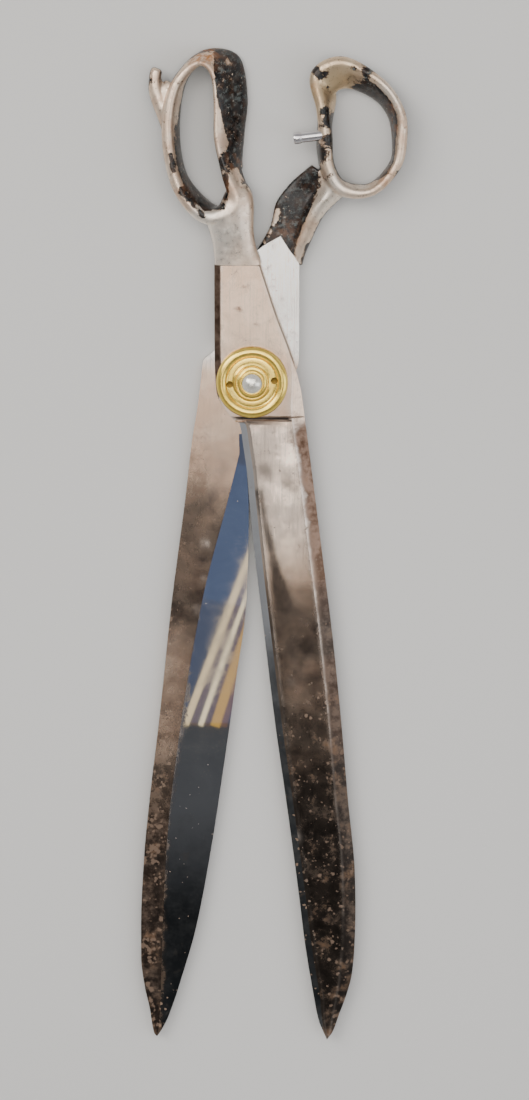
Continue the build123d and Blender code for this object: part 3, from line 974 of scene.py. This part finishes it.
def neck_section(left, right, low, floor, crest, crest_at):
    """A closed neck section from the left point to the right one.

    Its top rises from the floor on the left to the crest at crest_at, and its
    underside is at height low.  Both close on the middle height at the two ends, by
    the factor (4 t (1 - t)) ^ 0.42 of the way t across.
    """
    left, right = np.asarray(left, float), np.asarray(right, float)
    t = (1 - np.cos(np.linspace(0, np.pi, NECK_ACROSS))) / 2
    rounding = np.clip(4 * t * (1 - t), 0, 1) ** 0.42
    rise = floor + (crest - floor) * ease(t, crest_at - 0.36, crest_at)
    middle = (low + floor) / 2
    top = middle + (rise - middle) * rounding
    bottom = middle + (low - middle) * rounding
    plan = left + (right - left) * t[:, None]
    upper = np.column_stack([plan, top])
    under = np.column_stack([plan, bottom])[::-1]
    return np.vstack([upper, under])


def tube(path, radii):
    """A round tube through path points, its radius following the radii."""
    knots = np.column_stack([np.linspace(0, 1, len(path)), path, radii])
    rows = flow(knots, np.linspace(0, 1, TUBE_ROWS))
    middle, radius = rows[:, :3], rows[:, 3:]
    run = unit(np.gradient(middle, axis=0))
    first = unit(np.cross(run, (0, 0, 1.0)))
    second = np.cross(run, first)
    a = np.linspace(0, 2 * np.pi, TUBE_AROUND, endpoint=False)[None, :, None]
    spoke = np.cos(a) * first[:, None] + np.sin(a) * second[:, None]
    return middle[:, None] + radius[:, None] * spoke


def cast_together(name, grids):
    """Fuses closed grids into one casting: voxel remesh, then smoothing."""
    parts = [skin(name, grid, ring) for grid, ring in grids]
    whole = parts[0]
    for other in parts[1:]:
        cut(whole, other, "UNION")
    remesh = whole.modifiers.new("fuse", "REMESH")
    remesh.mode = "VOXEL"
    remesh.voxel_size = VOXEL * MM
    soften = whole.modifiers.new("soften", "SMOOTH")
    soften.factor = 0.5
    soften.iterations = SOFTENING
    return bake_modifiers(whole)


def prism(name, outline, low, high):
    """A closed block with the given plan outline."""
    outline = np.asarray(outline, float)
    levels = [np.column_stack([outline, np.full(len(outline), z)]) for z in (low, high)]
    return skin(name, np.stack(levels))


print("a bow is", round(BOW_TOP - BOW_BASE, 1), "mm deep")

# %% [markdown]
# ### Finger bow
# The long bow takes three fingers.  Its left bar is a round rim, and its right bar
# is a wing that falls away from the front rim towards the other handle.  A spur on
# the outside steadies the little finger.

# %% Build the finger bow
FINGER_STATIONS = [
    ((-18.6, 75.4), (-15.4, 76.0), 8.0),
    ((-28.6, 82.0), (-26.6, 84.6), 7.0),
    ((-35.4, 95.5), (-33.4, 97.0), 6.6),
    ((-38.0, 116.5), (-35.4, 117.5), 6.4),
    ((-34.4, 135.0), (-31.4, 137.5), 5.6),
    ((-24.4, 145.4), (-21.0, 148.6), 4.6),
    ((-17.4, 141.2), (-7.4, 146.6), 4.2),
    ((-15.5, 127.0), (-3.6, 129.0), 4.2),
    ((-15.2, 111.0), (-5.2, 112.5), 4.6),
    ((-11.2, 95.5), (-6.8, 96.8), 6.2),
    ((-7.0, 81.5), (-5.0, 81.5), 9.0),
]
FINGER_NECK = [
    neck_section((-17.2, 50.0), (4.6, 50.0), FRONT_BASE, 12.2, 12.7, 0.6),
    neck_section((-17.0, 55.0), (4.2, 55.0), 5.9, 12.6, 13.0, 0.6),
    neck_section((-17.6, 62.0), (1.8, 62.0), 4.4, 13.5, 13.8, 0.6),
    neck_section((-19.4, 69.0), (0.8, 70.0), 3.0, 14.9, 15.1, 0.6),
    neck_section((-21.5, 75.6), (1.0, 79.5), 2.4, 15.9, 16.0, 0.6),
    neck_section((-15.6, 79.5), (0.2, 85.8), 2.4, 15.8, 15.9, 0.6),
    neck_section((-12.2, 86.5), (-2.6, 91.0), 2.6, 15.2, 15.4, 0.6),
]
SPUR_PATH = [
    (-36.6, 113.0, 7.6), (-39.4, 121.0, 7.4), (-42.4, 129.0, 7.0), (-43.6, 134.0, 6.9),
    (-43.7, 138.6, 6.8), (-42.9, 141.4, 6.6), (-42.5, 142.3, 6.6),
]
SPUR_RADII = [3.4, 3.5, 3.5, 3.3, 2.8, 2.7, 1.5]
WEB_PATH = [(-36.5, 119.0, 7.2), (-38.6, 126.0, 7.0), (-39.4, 132.0, 6.8), (-37.2, 136.2, 6.8)]
WEB_RADII = [2.6, 3.0, 2.9, 1.8]

finger = cast_together(
    "finger_handle",
    [
        (leaning_ring(rims(FINGER_STATIONS)), True),
        (carried(FINGER_NECK), False),
        (tube(SPUR_PATH, SPUR_RADII), False),
        (tube(WEB_PATH, WEB_RADII), False),
    ],
)
JOINT_Y = 53.35
cut(finger, prism("saw", [(-40, 20), (40, 20), (40, JOINT_Y), (-40, JOINT_Y)], -10, 40))
FRONT_RELIEF = [
    (20, 40), (-16.5, 40), (-16.5, 56), (-13.4, 63), (-12, 78), (-10, 86), (-6.4, 94), (0.2, 103),
    (20, 103),
]
cut(finger, prism("relief", FRONT_RELIEF, -20, FRONT_BASE))
print("finger handle", len(finger.data.vertices), "vertices")

# %% [markdown]
# ### Thumb bow
# The short bow takes the thumb.  Its top left swells into a pad that lies near the
# front, so that the other bow's wing can pass beneath it when the shears close.  The
# neck is a deep channel beside a rounded ridge: the finger handle's neck swings into
# that channel.

# %% Build the thumb bow
THUMB_STATIONS = [
    ((41.0, 88.2), (39.4, 88.8), 7.0),
    ((34.6, 98.5), (33.4, 98.5), 6.6),
    ((33.4, 112.0), (32.4, 112.0), 6.8),
    ((31.6, 125.5), (35.2, 126.0), 6.6),
    ((29.6, 139.0), (35.6, 134.0), 7.4),
    ((41.6, 144.6), (44.4, 136.2), 7.6),
    ((59.0, 135.2), (56.2, 130.0), 5.6),
    ((67.0, 122.8), (63.4, 121.2), 5.4),
    ((67.4, 110.4), (66.2, 110.0), 6.4),
    ((65.0, 98.4), (64.6, 98.6), 5.4),
    ((54.4, 87.4), (53.8, 87.8), 5.2),
]
THUMB_NECK = [
    neck_section((0.0, 56.0), (22.0, 46.0), 0.4, 5.0, 8.0, 0.95),
    neck_section((4.6, 63.5), (23.6, 55.0), 0.4, 5.2, 9.4, 0.93),
    neck_section((8.6, 71.5), (27.4, 64.5), 0.5, 5.2, 11.2, 0.90),
    neck_section((10.4, 80.0), (32.4, 74.5), 0.6, 5.4, 12.8, 0.86),
    neck_section((17.0, 89.6), (38.2, 81.0), 0.8, 5.8, 13.8, 0.80),
    neck_section((27.0, 98.6), (44.0, 86.0), 1.0, 9.4, 14.2, 0.66),
]
thumb = cast_together(
    "thumb_handle",
    [(leaning_ring(rims(THUMB_STATIONS, {4: 7.2})), True), (carried(THUMB_NECK), False)],
)
REAR_V = [(-30, 20), (-10, 34.2), (-1.2, 56.1), (4.8, 61.6), (13.1, 66.4), (21.7, 52.9), (45, 51), (45, 20)]
cut(thumb, prism("saw", REAR_V, -10, 40))
REAR_RELIEF = [(-15, 40), (19, 40), (19, 65), (21, 72), (22.4, 80), (22.4, 85), (20.6, 97), (-15, 97)]
cut(thumb, prism("relief", REAR_RELIEF, PARTING - 0.1, 40))
print("thumb handle", len(thumb.data.vertices), "vertices")


# %% [markdown]
# ## Where the wear is
# Wear follows use.  It could be painted on by hand, but values worked out for each
# vertex, from its place and the way it faces, are easier to read and to change: rims
# that face the hand are bare, and hollows keep their enamel.  A few listed soft
# marks, round or straight, add single chips, dust and rust, and some painted highlight and shade.


# %% Soft marks
def spots(p, marks):
    """Sum of soft round marks: each (x, y, radius, strength) fades as exp(-(d/r)^2)."""
    total = np.zeros(len(p))
    for x, y, radius, strength in marks:
        total += strength * np.exp(-((p[:, 0] - x) ** 2 + (p[:, 1] - y) ** 2) / radius**2)
    return total


def streak(p, start, end, width):
    """A soft straight mark: 1 on the line from start to end, fading over its width."""
    start, end = np.asarray(start, float), np.asarray(end, float)
    way = end - start
    t = np.clip((p[:, :2] - start) @ way / (way @ way), 0, 1)
    away = np.linalg.norm(p[:, :2] - start - t[:, None] * way, axis=1)
    return np.exp(-((away / width) ** 2))


aside = streak(np.array([[0.0, 2.0]]), (-5, 0), (5, 0), 2.0)
print("a streak 2 mm wide fades to", round(float(aside[0]), 2), "at 2 mm from its line")

# %% [markdown]
# ### Wear of the finger handle
# The front faces are rubbed bare.  The inner wall of the bow and the wing, past a
# line that runs up the bow, keep their enamel.  Each term below adds bareness or
# takes it away, and rust, dust and a painted highlight on the neck have values of
# their own.

# %% Wear of the finger handle
WING_LINE = [
    (94, -4.8), (100, -7.5), (107.5, -10.3), (116, -12.9), (125, -14.9), (133.5, -16.4),
    (142, -17.4), (154, -17.0),
]
CHIP_DEPTH = 0.62


def wear_finger(piece):
    """Bare, rust, dust, gold and painted highlight values: sums of faces, spots and streaks."""
    p, n = points_of(piece)
    x, y, z = p.T
    line_y, line_x = np.array(WING_LINE).T
    wing_edge = np.interp(y, line_y, line_x)
    wing = ease(x, wing_edge - 0.6, wing_edge + 0.9) * ease(y, 90, 95)
    front_face = ease(n[:, 2], -0.1, 0.35)
    bare = 0.20 + 0.62 * front_face * ease(z, 5, 10)
    bare = bare * (1 - 0.72 * wing) + 0.03 * wing
    inner = ease(0.62 * n[:, 0] + 0.6 * n[:, 1] - 0.3 * n[:, 2], 0.2, 0.65)
    inner *= ease(y, 70, 74) * (1 - ease(x, -16, -12))
    bare -= CHIP_DEPTH * inner * (1 - ease(z, 13.8, 15.4)) * (1 - ease(y, 112, 128))
    bare += spots(p, [(-15, 62, 12, 0.3), (-6, 74, 9, 0.25), (-12, 56, 9, 0.3), (-30, 130, 14, 0.1)])
    bare -= spots(p, [(-13.5, 100, 3.5, 0.5), (-15.5, 91, 3.5, 0.5), (-17, 84, 3, 0.4), (-10, 104, 3, 0.3)])
    bare -= spots(p, [(-45, 137, 2.6, 0.5), (-42, 128, 2.4, 0.35), (-40.5, 119, 2, 0.3), (-3, 90, 3, 0.3)])
    for start, end, width in (
        ((-36.8, 104), (-35.2, 97), 1.3),
        ((-31.5, 88), (-22, 76), 1.7),
        ((-9.6, 107), (-8.4, 99), 1.6),
        ((-11.6, 94), (-11.6, 84), 1.5),
        ((-21, 79.5), (-13, 80.5), 1.3),
    ):
        bare -= CHIP_DEPTH * streak(p, start, end, width)
    rust = spots(p, [(-20, 149, 5, 1.0), (-27, 147, 4, 0.6), (-8, 100, 4, 0.4)])
    rust += spots(p, [(-12, 88, 5, 0.4), (-33, 90, 5, 0.3)])
    dust = 0.25 + spots(p, [(-14, 146, 7, 0.8), (-8, 130, 9, 0.5), (-7, 106, 6, 0.5), (-40, 134, 4, 0.9)])
    # Painted highlight on the upward faces of the neck.
    highlight = spots(p, [(-14, 70, 11, 1.0), (-16, 56, 9, 0.6)]) * front_face
    return bare, rust + 0.1, dust, 0.15 + 0 * x, highlight


# %% [markdown]
# ### Wear of the thumb handle
# The pad and the ridge of the neck are bare, and the channel beside the ridge and
# the inner wall of the bow are black.

# %% Wear of the thumb handle
def wear_thumb(piece):
    """Bare, rust, dust, gold and painted highlight values: sums of faces, spots and streaks."""
    p, n = points_of(piece)
    x, y, z = p.T
    front_face = ease(n[:, 2], -0.1, 0.4)
    bare = 0.18 + 0.60 * front_face * ease(z, 6.5, 10)
    pad = ease(y - 0.25 * x, 108, 114) * (1 - ease(x, 49, 54)) * ease(n[:, 2], -0.5, 0.0)
    bare = np.maximum(bare, 0.74 * pad)
    inward = ((50.0 - x) * n[:, 0] + (110.0 - y) * n[:, 1]) / 20
    inner = ease(inward, 0.25, 0.7) * (1 - ease(z, 13.6, 15.4)) * ease(y, 90, 97)
    bare -= CHIP_DEPTH * inner * (1 - pad)
    ridge = ease(x - 0.62 * y, -27, -19) * (1 - ease(y, 90, 98))
    channel = (1 - ease(y, 92, 99)) * (1 - ridge)
    bare += 0.35 * ridge * ease(z, 4, 8)
    bare -= 0.5 * channel
    bare += 0.85 * streak(p, (12, 77), (5.5, 63), 2.6) + 0.45 * streak(p, (26, 83), (33, 96), 1.6)
    bare -= spots(p, [(28.5, 142, 2.2, 0.6), (30.5, 139.5, 1.6, 0.6), (33, 140.5, 1.4, 0.6)])
    bare -= spots(p, [(33, 124, 2, 0.5), (35, 119, 2.8, 0.6), (34, 111, 2.4, 0.55)])
    bare -= spots(p, [(31, 104, 3.5, 0.5), (42, 88, 3, 0.4), (34, 134, 1.2, 0.4)])
    bare -= spots(p, [(50, 133, 4.5, 0.6), (55, 130, 4.5, 0.5)])
    bare -= spots(p, [(52, 142, 3.0, 0.45), (46, 142.5, 1.6, 0.4)])
    rust = spots(p, [(26, 134, 4, 0.4), (66, 118, 5, 0.4), (60, 92, 6, 0.4)])
    rust += spots(p, [(15, 68, 5, 0.3), (64, 126, 2, 0.8)])
    dust = 0.2 + spots(p, [(50, 141, 8, 0.9), (14, 70, 7, 0.6), (31, 96, 5, 0.6), (20, 80, 14, 0.3)])
    gold = 0.2 + spots(p, [(32, 132, 14, 0.8), (42, 140, 10, 0.5)])
    # Painted highlight on the upward faces near the bottom of the bow.
    highlight = spots(p, [(37, 90, 5, 0.5), (50, 93, 7, 0.4)]) * front_face
    return bare, rust + 0.1, dust, gold, highlight


for handle, wear in ((finger, wear_finger), (thumb, wear_thumb)):
    maps = wear(handle)
    for label, values in zip(("bare", "rust", "dust", "gold", "highlight"), maps):
        keep_value(handle, label, np.clip(values, 0, 1.2))
    shade(handle, 50)
    print(handle.name, "share of points more than half bare", round(float(np.mean(maps[0] > 0.5)), 2))

# %% [markdown]
# ### Wear of the halves
# Iron browns from its spine, darkens towards the point, as patina and as a painted
# dark reflection, and pits where damp settles.  Ridges are rubbed bright, with a painted
# highlight along them.  The map of each half starts from its own corners, so a stain
# keeps to its bevel, and listed marks follow.


# %% Wear of the halves
def reach_of(p, c):
    """How far each point lies from the plate's inner line, towards the edge."""
    order = np.argsort(c["y"])
    line = np.interp(p[:, 1], c["y"][order], (c["edge"] + c["side"] * c["reach"])[order])
    return c["side"] * (line - p[:, 0])


def wear_blade(piece, c, spine_band):
    """Brown near the spine, dark towards the point as patina and painted dark reflection, and rust freckles
    at both.

    Every value is a sum of smooth steps of the distance from the edge or the spine
    and of the distance down the blade.
    """
    p, _ = points_of(piece)
    x, y, z = p.T
    order = np.argsort(c["y"])
    names = ("edge", "width", "bevel", "chamfer")
    at = {k: np.interp(y, c["y"][order], c[k][order]) for k in names}
    from_edge = c["side"] * (x - at["edge"])
    from_spine = at["width"] - from_edge
    on_blade = 1 - ease(y, -30, -16)
    # The shank's left bevel: rust brown, with painted shade on this side, which faces away from the light.
    shank_bevel = (1 - ease(from_edge, at["bevel"] - 0.5, at["bevel"] + 0.2)) * ease(y, -14, 2)
    stain = (1 - ease(from_spine, spine_band - 3.5, spine_band + 3.5)) * 0.95 * on_blade
    stain += 0.10 + 1.3 * shank_bevel
    # Darker down the blade: patina together with a painted dark reflection.
    dark_patina_and_shade = ease(-y, 88, 140) * 0.75 + 0.45 * ease(-y, 140, 225) + 0.4 * shank_bevel
    freckle = 0.14 + 0.75 * ease(-y, 110, 200) + 0.5 * (1 - ease(from_spine, 3, 9)) * on_blade
    freckle += 0.5 * ease(-y, 290, 306)
    # Ridges and bevel tops: rubbed metal with a painted highlight along them.
    on_ridge = 1 - np.abs(from_spine - at["chamfer"]) / 0.9
    on_bevel = 1 - np.abs(from_edge - at["bevel"]) / 0.7
    worn_and_highlight = np.maximum(on_ridge, on_bevel)
    outside = np.abs(z - PARTING) > 1.2
    worn_and_highlight = np.clip(worn_and_highlight, 0, 1) * outside * (1 - 0.75 * ease(-y, 90, 200))
    return p, stain, dark_patina_and_shade, freckle, worn_and_highlight


def keep_wear(piece, stain, dark_patina_and_shade, freckle, worn_and_highlight, clean):
    """Stores the wear and painted shade of a half: the iron reads all five values, the steel three."""
    wear = {"stain": stain, "dark_patina_and_shade": dark_patina_and_shade, "freckle": freckle, "worn_and_highlight": worn_and_highlight, "clean": clean}
    for label, values in wear.items():
        keep_value(piece, label, np.clip(values, 0, 1.4))
    shade(piece, 14)
    print(piece.name, "mean darkness", round(float(np.mean(np.clip(dark_patina_and_shade, 0, 1))), 2))


# %% [markdown]
# ### Marks on the front half
# A dark line under the step is painted shadow.  Below it the face is bright, with a long
# dark mark, a shorter one and two lighter streaks, and then the whole blade is dark, as
# patina and painted dark reflection.

# %% Marks on the front half
p, stain, dark_patina_and_shade, freckle, worn_and_highlight = wear_blade(front_back, front, 5.5)
down = -p[:, 1]
# Painted shadow: a dark line along the step under the boss.
dark_patina_and_shade += 1.2 * streak(p, (-9.7, -16.9), (16.5, -16.9), 0.7)
dark_patina_and_shade += 0.8 * streak(p, (3.0, -52), (14.5, -104), 2.6) + 0.62 * streak(p, (6, -41), (19, -49), 5.0)
dark_patina_and_shade += 0.55 * ease(down, 80, 98) * (1 - ease(down, 104, 140)) - 0.12 * ease(down, 110, 140)
dark_patina_and_shade -= 0.6 * streak(p, (10.8, -33), (11.2, -50), 1.8) + 0.6 * streak(p, (15, -62), (22, -86), 5.0)
stain += 0.25 * ease(down, 120, 200) + spots(p, [(24, -22, 9, 0.5)])
stain += spots(p, [(-6.3, 33.5, 1.3, 0.8), (-4, 44, 1.0, 0.5), (3, 20, 1.2, 0.4)])
freckle += spots(p, [(30, -150, 10, 0.3), (12, -170, 9, 0.3)])
worn_and_highlight += spots(p, [(20.5, -214, 2.3, 1.8), (17.5, -140, 2.2, 0.5)])
clean = 0.35 * ease(down, 16, 24) * (1 - ease(down, 60, 100))
keep_wear(front_back, stain, dark_patina_and_shade, freckle, worn_and_highlight, clean)

p, *wear = wear_blade(front_steel, front, 5.5)
keep_wear(front_steel, *wear, np.zeros(len(p)))

# %% [markdown]
# ### Marks on the rear half
# Its shank was kept cleaner than its blade.  The blade is dusky below the boss, then
# tan, then brown.  Its polished plate is painted darker only near the point, as a dark
# reflection, and browns along the line where it meets the iron.

# %% Marks on the rear half
p, stain, dark_patina_and_shade, freckle, worn_and_highlight = wear_blade(rear_back, rear, 11.0)
down = -p[:, 1]
tan = streak(p, (-38, -112), (-44, -195), 12.0)
dusk = ease(down, 18, 66) * (1 - ease(down, 96, 142))
stain *= ease(down, 10, 60) * (1 - 0.65 * tan) * (1 - 0.6 * dusk)
stain += 0.12 * dusk
dark_patina_and_shade += 1.12 * dusk - 0.35 - 0.35 * streak(p, (-37, -120), (-40, -170), 6.0)
dark_patina_and_shade += spots(p, [(-12, -28, 7, 0.45), (-20, -34, 6, 0.3)])
worn_and_highlight += spots(p, [(-21.5, -76, 1.8, 1.4), (-22, -92, 1.2, 0.8), (-24.5, -107, 2.5, 0.8)])
freckle += spots(p, [(-45, -215, 12, 0.6), (-47, -250, 12, 0.5), (-46, -292, 7, 0.7)])
keep_wear(rear_back, stain, dark_patina_and_shade, freckle, worn_and_highlight, ease(-down, 2, 14))

p, stain, dark_patina_and_shade, freckle, worn_and_highlight = wear_blade(rear_steel, rear, 6.5)
down = -p[:, 1]
stain = 0.75 * (1 - ease(reach_of(p, rear), 0.3, 4.5)) * ease(down, 60, 175)
# The plate is painted darker only near the point, as a dark reflection.
dark_patina_and_shade -= 0.85 - 0.9 * ease(down, 180, 300)
freckle += spots(p, [(-19, -92, 3, 0.9), (-42, -290, 8, 0.7)]) - 0.6
keep_wear(rear_steel, stain, dark_patina_and_shade, freckle, worn_and_highlight, np.zeros(len(p)))

# %% [markdown]
# ### Painted shade on the round pieces
# The brass is painted darker at the foot of each step and in the spanner holes, as
# shade, so the nut's map is three thin rings and the two holes.

# %% Painted shade on the round pieces
p, _ = points_of(nut)
radius = np.hypot(p[:, 0], p[:, 1])
# Painted shade at the foot of each step and, below, in the spanner holes.
groove_shade = sum(np.exp(-(((radius - ring) / 0.3) ** 2)) for ring in (11.3, 8.7, 7.1))
near_holes = 1 - ease(np.abs(radius - SPANNER_CIRCLE), SPANNER_HOLE, SPANNER_HOLE + 0.2)
in_hole = ease(LEDGE - 0.2 - p[:, 2], 0, 0.4) * near_holes
keep_value(nut, "hollow", 0.36 * groove_shade * (p[:, 2] > NUT_BASE + 1.2) + 1.6 * in_hole)
for piece in (bolt, washer, stud):
    keep_value(piece, "hollow", np.zeros(len(piece.data.vertices)))
for piece in (nut, bolt, washer, stud):
    shade(piece, 24)
print("grime on", int(np.sum(groove_shade > 0.5)), "of the nut's points")

# %% [markdown]
# ## Hand the pieces to their bodies
# Each piece rides on the CAD body that carries the part it stands for, so the shears
# open and the nut turns with no further work.

# %% Ride and replace
def hand_over(piece, body, node, material):
    """Gives a finished piece its material and its body, in place of its CAD node."""
    piece.data.materials.clear()
    piece.data.materials.append(material)
    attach(piece, body)
    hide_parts(node)
    print(piece.name, len(piece.data.polygons), "faces on", body)


hand_over(thumb, "thumb_half", "thumb_bow", JAPAN)
hand_over(rear_back, "thumb_half", "rear_blade_back", IRON)
hand_over(rear_steel, "thumb_half", "rear_blade_steel", STEEL)
hand_over(stud, "thumb_half", "stop_stud", STUD_STEEL)
hand_over(bolt, "thumb_half", "pivot_bolt", BOLT_STEEL_HIGHLIT)
hand_over(finger, "finger_half", "finger_bow", JAPAN)
hand_over(front_back, "finger_half", "front_blade_back", IRON)
hand_over(front_steel, "finger_half", "front_blade_steel", STEEL)
hand_over(washer, "washer", "spring_washer", BOLT_STEEL_HIGHLIT)
hand_over(nut, "nut", "pivot_nut", BRASS)

# %% [markdown]
# ## Floor
# A pale, matt floor shows a dark old tool plainly and throws soft light under it.
# Broad faint noise keeps it from being one flat colour.


# %% Floor
FLOOR_HALF, FLOOR_DROP = 6.0, 1e-4


def pale_floor():
    """A matt grey that drifts between two near tones over about a metre."""
    f = Finish("pale_floor")
    tone = f.mix(f.band(f.noise(900.0, 3), 0.3, 0.7), (0.74, 0.73, 0.71), (0.79, 0.78, 0.765))
    return f.surface(tone, 0.0, 0.9)


signs = ((-1, -1), (1, -1), (1, 1), (-1, 1))
floor_corners = [(FLOOR_HALF * a, FLOOR_HALF * b, -FLOOR_DROP) for a, b in signs]
floor_mesh = bpy.data.meshes.new("floor")
floor_mesh.from_pydata(floor_corners, [], [(0, 1, 2, 3)])
floor = bpy.data.objects.new("floor", floor_mesh)
bpy.context.scene.collection.objects.link(floor)
floor.data.materials.append(pale_floor())
print("floor", 2 * FLOOR_HALF, "m square")

# %% [markdown]
# ## Soft lights
# Three large soft boxes model the shapes: a warm key from the upper left, a cooler
# fill from the right, and a broad light behind the handles.  Polished steel shows
# what is round it, so small dim panels hang 1.5 m up, where the flat faces mirror
# them.  The camera stands at y = 0.30, about half as high again, so a flat face at y
# shows the ceiling at y + 0.7 (y - 0.30), in metres.


# %% Soft boxes
def soft_light(name, at, aim, size, power, colour):
    """A rectangular soft box at a point, turned to face another, in metres."""
    data = bpy.data.lights.new(name, "AREA")
    data.shape = "RECTANGLE"
    data.size, data.size_y = size
    data.energy = power
    data.color = colour
    lamp = bpy.data.objects.new(name, data)
    bpy.context.scene.collection.objects.link(lamp)
    lamp.location = at
    lamp.rotation_mode = "QUATERNION"
    lamp.rotation_quaternion = (Vector(at) - Vector(aim)).to_track_quat("Z", "Y")
    return lamp


def ceiling_panel(name, x, y, z, size, power, colour, turn=0.0):
    """A panel facing straight down from (x, y, z), turned about the vertical in degrees."""
    lamp = soft_light(name, (x, y, z), (x, y, 0), size, power, colour)
    lamp.rotation_mode = "XYZ"
    lamp.rotation_euler = (0, 0, math.radians(turn))
    return lamp


soft_light("key", (-1.3, 0.9, 1.7), (0, -0.05, 0), (1.0, 1.4), 20, (1.0, 0.97, 0.93))
soft_light("fill", (1.5, -0.3, 1.3), (0, -0.1, 0), (0.9, 1.6), 9, (0.93, 0.96, 1.0))
soft_light("overhead", (0.0, 0.70, 1.9), (0, 0.15, 0), (2.0, 1.3), 19, (1.0, 0.98, 0.95))

HIGH = 1.5
ceiling_panel("ceiling_white", 0.0, -0.10, HIGH, (0.40, 0.29), 0.75, (1.0, 0.95, 0.90))
ceiling_panel("ceiling_bows", 0.0, 0.05, HIGH, (0.50, 0.28), 2.2, (1.0, 0.96, 0.90))
ceiling_panel("ceiling_left", -0.265, -0.312, HIGH, (0.22, 0.145), 0.26, (1.0, 0.95, 0.92))
ceiling_panel("ceiling_cream", -0.235, -0.345, HIGH - 0.01, (0.10, 0.06), 0.06, (1.0, 0.93, 0.80))
ceiling_panel("ceiling_blue", -0.055, -0.365, HIGH + 0.02, (0.12, 0.238), 0.010, (0.22, 0.40, 1.0))
print(len(bpy.data.lights), "lights so far")

# %% [markdown]
# ### Coloured strips
# The rear plate is a mirror, and a mirror needs something to show: a blue evening
# window and some cream, brown and gold curtain folds.  They are narrow strips of
# light, dim enough to add no colour elsewhere.  The blue is three nested strips, each
# narrower and brighter, because a single one would end in one hard step.  Each power
# is a brightness times pi times the strip's area.

# %% Coloured strips
SKY_AT, SKY_TURN, SKY_BLUE = (-0.0165, -0.332, HIGH + 0.01), -11.6, (0.22, 0.46, 1.0)
for name, wide, long, brightness in (
    ("sky_outer", 0.040, 0.110, 0.09),
    ("sky_middle", 0.022, 0.090, 0.14),
    ("sky_core", 0.010, 0.060, 0.26),
):
    power = brightness * math.pi * wide * long
    ceiling_panel(name, *SKY_AT, (wide, long), power, SKY_BLUE, SKY_TURN)

FOLD_Y, FOLD_LONG = -0.411, 0.15
for name, middle, wide, power, colour, turn in (
    ("strip_cream", -0.0300, 0.0055, 0.0036, (1.0, 0.74, 0.34), -20.5),
    ("strip_brown", -0.0245, 0.0050, 0.0003, (1.0, 0.42, 0.12), -20.0),
    ("strip_pale", -0.0200, 0.0040, 0.0032, (1.0, 0.80, 0.44), -19.0),
    ("strip_umber", -0.0160, 0.0045, 0.0002, (1.0, 0.36, 0.10), -18.5),
    ("strip_amber", -0.0105, 0.0075, 0.0030, (1.0, 0.54, 0.02), -17.5),
    ("strip_rust", -0.0045, 0.0050, 0.0004, (1.0, 0.34, 0.06), -17.0),
):
    ceiling_panel(name, middle, FOLD_Y, HIGH, (wide, FOLD_LONG), power, colour, turn)
print(len(bpy.data.lights), "lights in all")

# %% [markdown]
# ## Sky
# The sky fills the shadows.  It is bright at the sides and dim overhead, by a ramp on
# the height of the direction looked in, so that the flat blades, which mirror what is
# above them, stay darker than their bevels.

# %% Sky
SIDE_GREY, TOP_GREY = (0.95, 0.95, 0.95, 1), (0.22, 0.225, 0.235, 1)
SIDE_HEIGHT, TOP_HEIGHT = 0.45, 0.93

world = bpy.data.worlds.new("studio")
bpy.context.scene.world = world
world.use_nodes = True
tree = world.node_tree
sky = tree.nodes["Background"]
direction = tree.nodes.new("ShaderNodeTexCoord")
split = tree.nodes.new("ShaderNodeSeparateXYZ")
tree.links.new(direction.outputs["Generated"], split.inputs[0])
ramp = tree.nodes.new("ShaderNodeValToRGB")
tree.links.new(split.outputs["Z"], ramp.inputs["Fac"])
low, high = ramp.color_ramp.elements
low.position, low.color = SIDE_HEIGHT, SIDE_GREY
high.position, high.color = TOP_HEIGHT, TOP_GREY
tree.links.new(ramp.outputs["Color"], sky.inputs["Color"])
sky.inputs["Strength"].default_value = 0.5
print("sky strength", sky.inputs["Strength"].default_value)

# %% [markdown]
# ## The end
# Last, the view layer is brought up to date.

# %% The end
bpy.context.view_layer.update()
